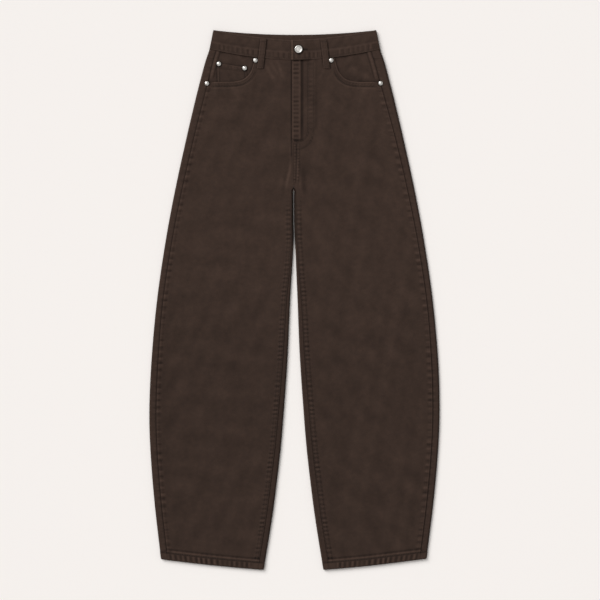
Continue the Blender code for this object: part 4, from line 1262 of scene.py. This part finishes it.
# Satin nickel plate, faintly clouded
def metalMaterial(name, finish):
    material = bpy.data.materials.new(name)
    material.use_nodes = True
    tree = material.node_tree
    shader = tree.nodes["Principled BSDF"]
    link = tree.links.new
    place = addNode(tree, "ShaderNodeTexCoord").outputs["Object"]
    cloud = addNoise(tree, place, finish["cloudScale"], 4.0)
    hue = addNode(tree, "ShaderNodeMix", data_type="RGBA")
    hue.inputs["A"].default_value = (*finish["colour"], 1.0)
    hue.inputs["B"].default_value = (*finish["worn"], 1.0)
    link(cloud.outputs["Fac"], hue.inputs["Factor"])
    link(hue.outputs["Result"], shader.inputs["Base Color"])
    rough = addNode(tree, "ShaderNodeMapRange")
    rough.inputs["To Min"].default_value = finish["roughness"] - 0.08
    rough.inputs["To Max"].default_value = finish["roughness"] + 0.12
    link(cloud.outputs["Fac"], rough.inputs["Value"])
    link(rough.outputs["Result"], shader.inputs["Roughness"])
    shader.inputs["Metallic"].default_value = 1.0
    bump = addNode(tree, "ShaderNodeBump")
    bump.inputs["Strength"].default_value = 0.25
    bump.inputs["Distance"].default_value = 0.05 * metresPerMm
    link(cloud.outputs["Fac"], bump.inputs["Height"])
    link(bump.outputs["Normal"], shader.inputs["Normal"])
    return material


nickel = metalMaterial("satin_nickel", {"colour": (0.62, 0.60, 0.565), "worn": (0.74, 0.72, 0.69),
                                        "cloudScale": 900.0, "roughness": 0.34})


# A round piece turned from its profile of radius and height, mm
def turnedPiece(name, centre, profile, count, node):
    x, y, base = centre
    angles = np.arange(count) * 2.0 * math.pi / count
    vertices = [(x, y, base + profile[0][1])]
    for radius, height in profile:
        for angle in angles:
            vertices.append((x + radius * math.cos(angle), y + radius * math.sin(angle), base + height))
    vertices.append((x, y, base + profile[-1][1]))
    faces = []
    for step in range(count):
        following = (step + 1) % count
        faces.append((0, 1 + following, 1 + step))
        for ring in range(len(profile) - 1):
            low = 1 + ring * count
            high = low + count
            faces.append((low + step, low + following, high + following, high + step))
        last = 1 + (len(profile) - 1) * count
        faces.append((len(vertices) - 1, last + step, last + following))
    mesh = bpy.data.meshes.new(name)
    mesh.from_pydata((np.array(vertices) * metresPerMm).tolist(), [], faces)
    mesh.shade_smooth()
    mesh.set_sharp_from_angle(angle=math.radians(55.0))
    piece = addPiece(name, mesh, nickel)
    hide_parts(node)
    return piece


def nodeSeat(node):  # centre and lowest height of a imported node, mm
    low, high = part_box(node)
    centre = (low + high) / 2 / metresPerMm
    return centre.x, centre.y, low.z / metresPerMm


# Rim, groove and a plain, slightly domed middle
buttonProfile = [
    (6.8, 0.0), (7.3, 0.15), (7.6, 0.6), (7.6, 1.2), (7.52, 1.7), (7.3, 2.15), (6.95, 2.45), (6.5, 2.58),
    (6.0, 2.58), (5.5, 2.5), (5.1, 2.32), (4.85, 2.05), (4.7, 1.8), (4.4, 1.72), (3.9, 1.76), (3.2, 1.83),
    (2.4, 1.9), (1.5, 1.94), (0.7, 1.96),
]
rivetProfile = [
    (3.6, 0.0), (3.98, 0.1), (4.1, 0.35), (4.03, 0.62), (3.85, 0.8), (3.62, 0.84), (3.44, 0.8), (3.2, 0.88),
    (2.85, 1.14), (2.4, 1.4), (1.85, 1.6), (1.2, 1.73), (0.55, 1.79),
]
turnedPiece("button_metal", nodeSeat("button"), buttonProfile, 72, "button")
for number in range(1, 7):
    node = "rivet_%d" % number
    turnedPiece("rivet_metal_%d" % number, nodeSeat(node), rivetProfile, 40, node)
print("button and rivets made")


# Size of one stitch
thread = {"pitch": 3.3, "length": 2.5, "halfWidth": 0.36, "halfHeight": 0.26, "sides": 6}


# Samples a line of points evenly, as the start and end points of each stitch
def alongLine(points, pitch):
    points = np.asarray(points, float)
    steps = np.linalg.norm(np.diff(points, axis=0), axis=1)
    reached = np.concatenate([[0.0], np.cumsum(steps)])
    count = max(1, int(reached[-1] / pitch))
    places = (np.arange(count) + 0.5) * reached[-1] / count

    def at(distance):
        return np.stack([np.interp(distance, reached, points[:, axis]) for axis in range(3)], axis=1)

    half = thread["length"] / 2
    return at(np.maximum(places - half, 0.0)), at(np.minimum(places + half, reached[-1]))


# Every line of sewing becomes small rounded threads, joined in one mesh
def makeStitches(name, lines, wide=1.0):
    stations = [(0.0, 0.05, -0.5), (0.14, 0.75, 0.0), (0.5, 1.0, 0.35), (0.86, 0.75, 0.0), (1.0, 0.05, -0.5)]
    count = thread["sides"]
    angles = np.arange(count) * 2.0 * math.pi / count
    vertices, faces = [], []
    total = 0
    for points, up, pitch in lines:
        starts, ends = alongLine(points, pitch)
        along = ends - starts
        length = np.linalg.norm(along, axis=1, keepdims=True)
        along = along / np.maximum(length, 1e-6)
        normal = np.array(up, float)
        across = np.cross(along, normal)
        across /= np.maximum(np.linalg.norm(across, axis=1, keepdims=True), 1e-6)
        for start, end, side in zip(starts, ends, across):
            for share, size, lift in stations:
                centre = start + (end - start) * share + normal * lift * thread["halfHeight"]
                for angle in angles:
                    vertices.append(centre + side * math.cos(angle) * size * thread["halfWidth"] * wide
                                    + normal * math.sin(angle) * size * thread["halfHeight"])
            for ring in range(len(stations) - 1):
                low = total + ring * count
                for step in range(count):
                    following = (step + 1) % count
                    high = low + count
                    faces.append((low + step, low + following, high + following, high + step))
            faces.append([total + step for step in reversed(range(count))])
            faces.append([total + (len(stations) - 1) * count + step for step in range(count)])
            total += len(stations) * count
    mesh = bpy.data.meshes.new(name)
    mesh.from_pydata((leant(np.array(vertices)) * metresPerMm).tolist(), [], faces)
    mesh.shade_smooth()
    piece = addPiece(name, mesh, threadTwist)
    print(name, "has", len(faces), "faces")
    return piece


upward, downward = (0.0, 0.0, 1.0), (0.0, 0.0, -1.0)


def onFront(u, y, side, lift=0.1):  # points on the outer face of a front
    u, y = np.broadcast_arrays(np.asarray(u, float), np.asarray(y, float))
    level, fine = frontSurface(u, y, side, distanceToMouth(u, y))
    return np.stack([sides[side] * u, y, level + fine + lift], axis=1)


def frontLines(side):
    lines = []
    legs = np.arange(196.0, -499.0, -4.0)
    for place in seams["fellStitches"]:
        u = innerEdge(legs) + readTable(inseamInset, legs) + place
        lines.append((onFront(u, legs, side), upward, 3.3))
    for place in seams["mouthStitches"]:
        u = np.linspace(79.0, float(frontEnd(418.0, side)) - 9.0, 60)
        y = readTable(pocketMouth, u)
        slope = np.gradient(y, u)
        away = np.hypot(1.0, slope)
        lines.append((onFront(u + slope / away * place, y - place / away, side), upward, 3.0))
    rows = np.linspace(0.0, 1.0, 60)
    u = mix(innerEdge(-510.0) + 3.0, outerEdge(-510.0) - 3.0, rows)
    y = hemLine(u) + cut["hemHeight"] - 0.9
    lines.append((np.stack([sides[side] * u, y, topLevel(y) + 0.35], axis=1), upward, 3.4))
    if side == "L":
        for path in flyStitchPaths():
            x = np.array([point[0] for point in path]) + seamX(400.0) - cut["flySeamX"]
            dense = np.linspace(0, len(path) - 1, 80)
            x = np.interp(dense, range(len(path)), x)
            y = np.interp(dense, range(len(path)), [point[1] for point in path])
            lines.append((onFront(x, y, side), upward, 3.0))
        fly = np.arange(459.0, 309.0, -4.0)
        lines.append((onFront(seamX(fly) + 2.2, fly, side), upward, 3.1))
        rise = np.arange(302.0, 224.0, -4.0)
        for place in seams["riseRows"]:
            lines.append((onFront(seamX(rise) + place, rise, side), upward, 3.1))
        for x0, x1, y in ((-2.0, 10.0, 310.5), (28.6, 34.0, 332.5)):
            bar = np.linspace(x0, x1, 12)
            lines.append((onFront(bar, y + 0.0 * bar, side, 0.3), upward, 1.3))
    return lines


def bandLines():
    lines = []
    for share in waistband["stitchShares"]:
        for low, high in ((-156.0, -12.0), (-4.4, 156.0)):
            x = np.arange(low, high, 4.0)
            y = mix(frontBandSeam(x) + cut["seamHalf"], frontBandTop(x), share)
            over = 1.0 - smooth(x, *waistband["overlapRamp"]) if low > -10.0 else 0.0 * x
            ridge = waistband["ridgeRaise"] * (1.0 - smooth(share, *waistband["ridgeEdge"]))
            z = waistband["level"] + ridge + (waistband["overlapRaise"] + waistband["ridgeRaise"]) * over - 0.1
            lines.append((np.stack([x, y, z], axis=1), upward, 3.2))
        x = np.arange(-148.0, 149.0, 4.0)
        y = mix(backBandSeam(x) + cut["seamHalf"], backBandTop(x), share)
        lines.append((np.stack([x, y, waistLift(y) + 0.2], axis=1), downward, 3.2))
    x = np.arange(-120.0, 121.0, 4.0)
    y = mix(backBandSeam(x) + cut["seamHalf"], backBandTop(x), 0.9)
    lines.append((np.stack([x, y, waistLift(y) + waistband["wall"] - 0.1], axis=1), upward, 3.2))
    y = np.arange(466.0, 499.0, 3.0)
    x = waistband["overEnd"] + 3.4 + 0.0 * y
    lapTop = waistband["level"] + waistband["overlapRaise"] + waistband["ridgeRaise"] + 0.3
    lines.append((np.stack([x, y, lapTop + 0.0 * y], axis=1), upward, 3.2))
    return lines


def coinLines():
    lines = []
    across = np.linspace(0.05, 0.95, 20)
    for place in coinPocket["stitches"]:
        u, y = coinPlace(across, place / coinPocket["height"] + 0.0 * across)
        z = facingLevel(u, y, "R") + 0.3 + coinPocket["wall"] - 0.05
        lines.append((np.stack([-u, y, z], axis=1), upward, 3.0))
    down = np.linspace(0.22, 0.8, 14)
    for side in (0.035, 0.965):
        u, y = coinPlace(side + 0.0 * down, down)
        z = facingLevel(u, y, "R") + 0.3 + coinPocket["wall"] - 0.05
        lines.append((np.stack([-u, y, z], axis=1), upward, 3.0))
    return lines


def loopLines():
    lines = []
    for place, topX, top, bottomX, bottom, width in beltLoops:
        share = np.linspace(0.04, 0.96, 24)
        for offset in (-0.5 * width + 2.3, 0.5 * width - 2.3):
            x = mix(topX, bottomX, share) + offset
            y = mix(top, bottom, share)
            z = loopLow(place, share, bottom) + 1.42 if place == "front" else 0.25 + 0.0 * x
            lines.append((np.stack([x, y, z], axis=1), upward if place == "front" else downward, 3.0))
        for share in (0.08, 0.92):
            x = mix(topX, bottomX, share) + np.linspace(-0.42, 0.42, 8) * width
            y = mix(top, bottom, share) + 0.0 * x
            z = loopLow(place, share + 0.0 * x, bottom) + 1.55 if place == "front" else 0.2 + 0.0 * x
            lines.append((np.stack([x, y, z], axis=1), upward if place == "front" else downward, 1.2))
    return lines


def underLines(side):
    lines = []
    for offset in (-1.8, -7.8):
        u = np.arange(9.0, 162.0, 4.0)
        y = yokeSeam(u) + offset
        lines.append((np.stack([sides[side] * u, y, undersideHeight(u, y) + 0.1], axis=1), downward, 3.3))
    if side == "L":
        for place in (2.0, 8.0):
            y = np.arange(468.0, 224.0, -4.0)
            u = place + 0.0 * y
            lines.append((np.stack([u, y, undersideHeight(u, y) + 0.1], axis=1), downward, 3.3))
    u = np.arange(62.0, 250.0, 4.0)
    y = hemLine(u) + cut["hemHeight"] - 0.9
    lines.append((np.stack([sides[side] * u, y, 0.35 + 0.0 * u], axis=1), downward, 3.4))
    middle = np.array(backPocketCorners).mean(axis=0)
    for inset in (2.4, 9.6):
        corners = np.array(backPocketCorners)
        pulled = corners + (middle - corners) / np.linalg.norm(middle - corners, axis=1)[:, None] * inset * 1.25
        for first, second in ((0, 1), (1, 2), (2, 3), (3, 4), (4, 0)):
            share = np.linspace(0.02, 0.98, 40)[:, None]
            line = mix(pulled[first], pulled[second], share)
            z = np.full(len(line), 0.3)
            lines.append((np.stack([sides[side] * line[:, 0], line[:, 1], z], axis=1), downward, 3.3))
    return lines


for side in sides:
    makeStitches("front_stitches_" + side, frontLines(side))
    makeStitches("under_stitches_" + side, underLines(side))
makeStitches("band_stitches", bandLines())
makeStitches("coin_stitches", coinLines())
makeStitches("loop_stitches", loopLines())
print("stitches made")


# Studio: a pale warm table, the camera straight above, one large soft light from the upper left
studio = {
    "floorColour": (0.946, 0.909, 0.884), "cameraPlace": (0.01075, 0.0, 3.2222), "lens": 100.0,
    "keyElevation": 38.0, "keyAzimuth": 135.0, "keySoftness": 38.0, "keyStrength": 2.5,
    "fillHeight": 4.2, "fillSize": 4.0, "fillPower": 27.0, "worldStrength": 0.36,
}


def makeStudio():
    mesh = bpy.data.meshes.new("floor_sheet")
    reach = 6.0
    mesh.from_pydata([(-reach, -reach, -0.0004), (reach, -reach, -0.0004), (reach, reach, -0.0004),
                      (-reach, reach, -0.0004)], [], [(0, 1, 2, 3)])
    floor = bpy.data.objects.new("floor_sheet", mesh)
    bpy.context.scene.collection.objects.link(floor)
    paper = bpy.data.materials.new("pale_paper")
    paper.use_nodes = True
    shader = paper.node_tree.nodes["Principled BSDF"]
    shader.inputs["Roughness"].default_value = 0.95
    shader.inputs["Specular IOR Level"].default_value = 0.1
    cloud = addNode(paper.node_tree, "ShaderNodeTexNoise")
    cloud.inputs["Scale"].default_value = 2.0
    tone = addNode(paper.node_tree, "ShaderNodeMix", data_type="RGBA")
    tone.inputs["A"].default_value = (*studio["floorColour"], 1.0)
    tone.inputs["B"].default_value = (*[value * 1.01 for value in studio["floorColour"]], 1.0)
    paper.node_tree.links.new(cloud.outputs["Fac"], tone.inputs["Factor"])
    paper.node_tree.links.new(tone.outputs["Result"], shader.inputs["Base Color"])
    mesh.materials.append(paper)

    world = bpy.data.worlds.new("pale_room")
    world.use_nodes = True
    back = world.node_tree.nodes["Background"]
    back.inputs["Color"].default_value = (1.0, 0.985, 0.965, 1.0)
    back.inputs["Strength"].default_value = studio["worldStrength"]
    bpy.context.scene.world = world

    sun = bpy.data.lights.new("key_light", "SUN")
    sun.energy = studio["keyStrength"]
    sun.angle = math.radians(studio["keySoftness"])
    key = bpy.data.objects.new("key_light", sun)
    key.rotation_euler = (math.radians(90.0 - studio["keyElevation"]), 0.0,
                          math.radians(studio["keyAzimuth"] + 90.0))
    bpy.context.scene.collection.objects.link(key)
    panel = bpy.data.lights.new("fill_light", "AREA")
    panel.size = studio["fillSize"]
    panel.energy = studio["fillPower"]
    fill = bpy.data.objects.new("fill_light", panel)
    fill.location = (0.0, 0.0, studio["fillHeight"])
    bpy.context.scene.collection.objects.link(fill)

    lens = bpy.data.cameras.new("camera")
    lens.lens = studio["lens"]
    lens.sensor_width = 36.0
    lens.clip_end = 50.0
    camera = bpy.data.objects.new("camera", lens)
    camera.location = studio["cameraPlace"]
    bpy.context.scene.collection.objects.link(camera)
    bpy.context.scene.camera = camera
    bpy.context.scene.view_settings.view_transform = "Standard"


makeStudio()
print("studio made")
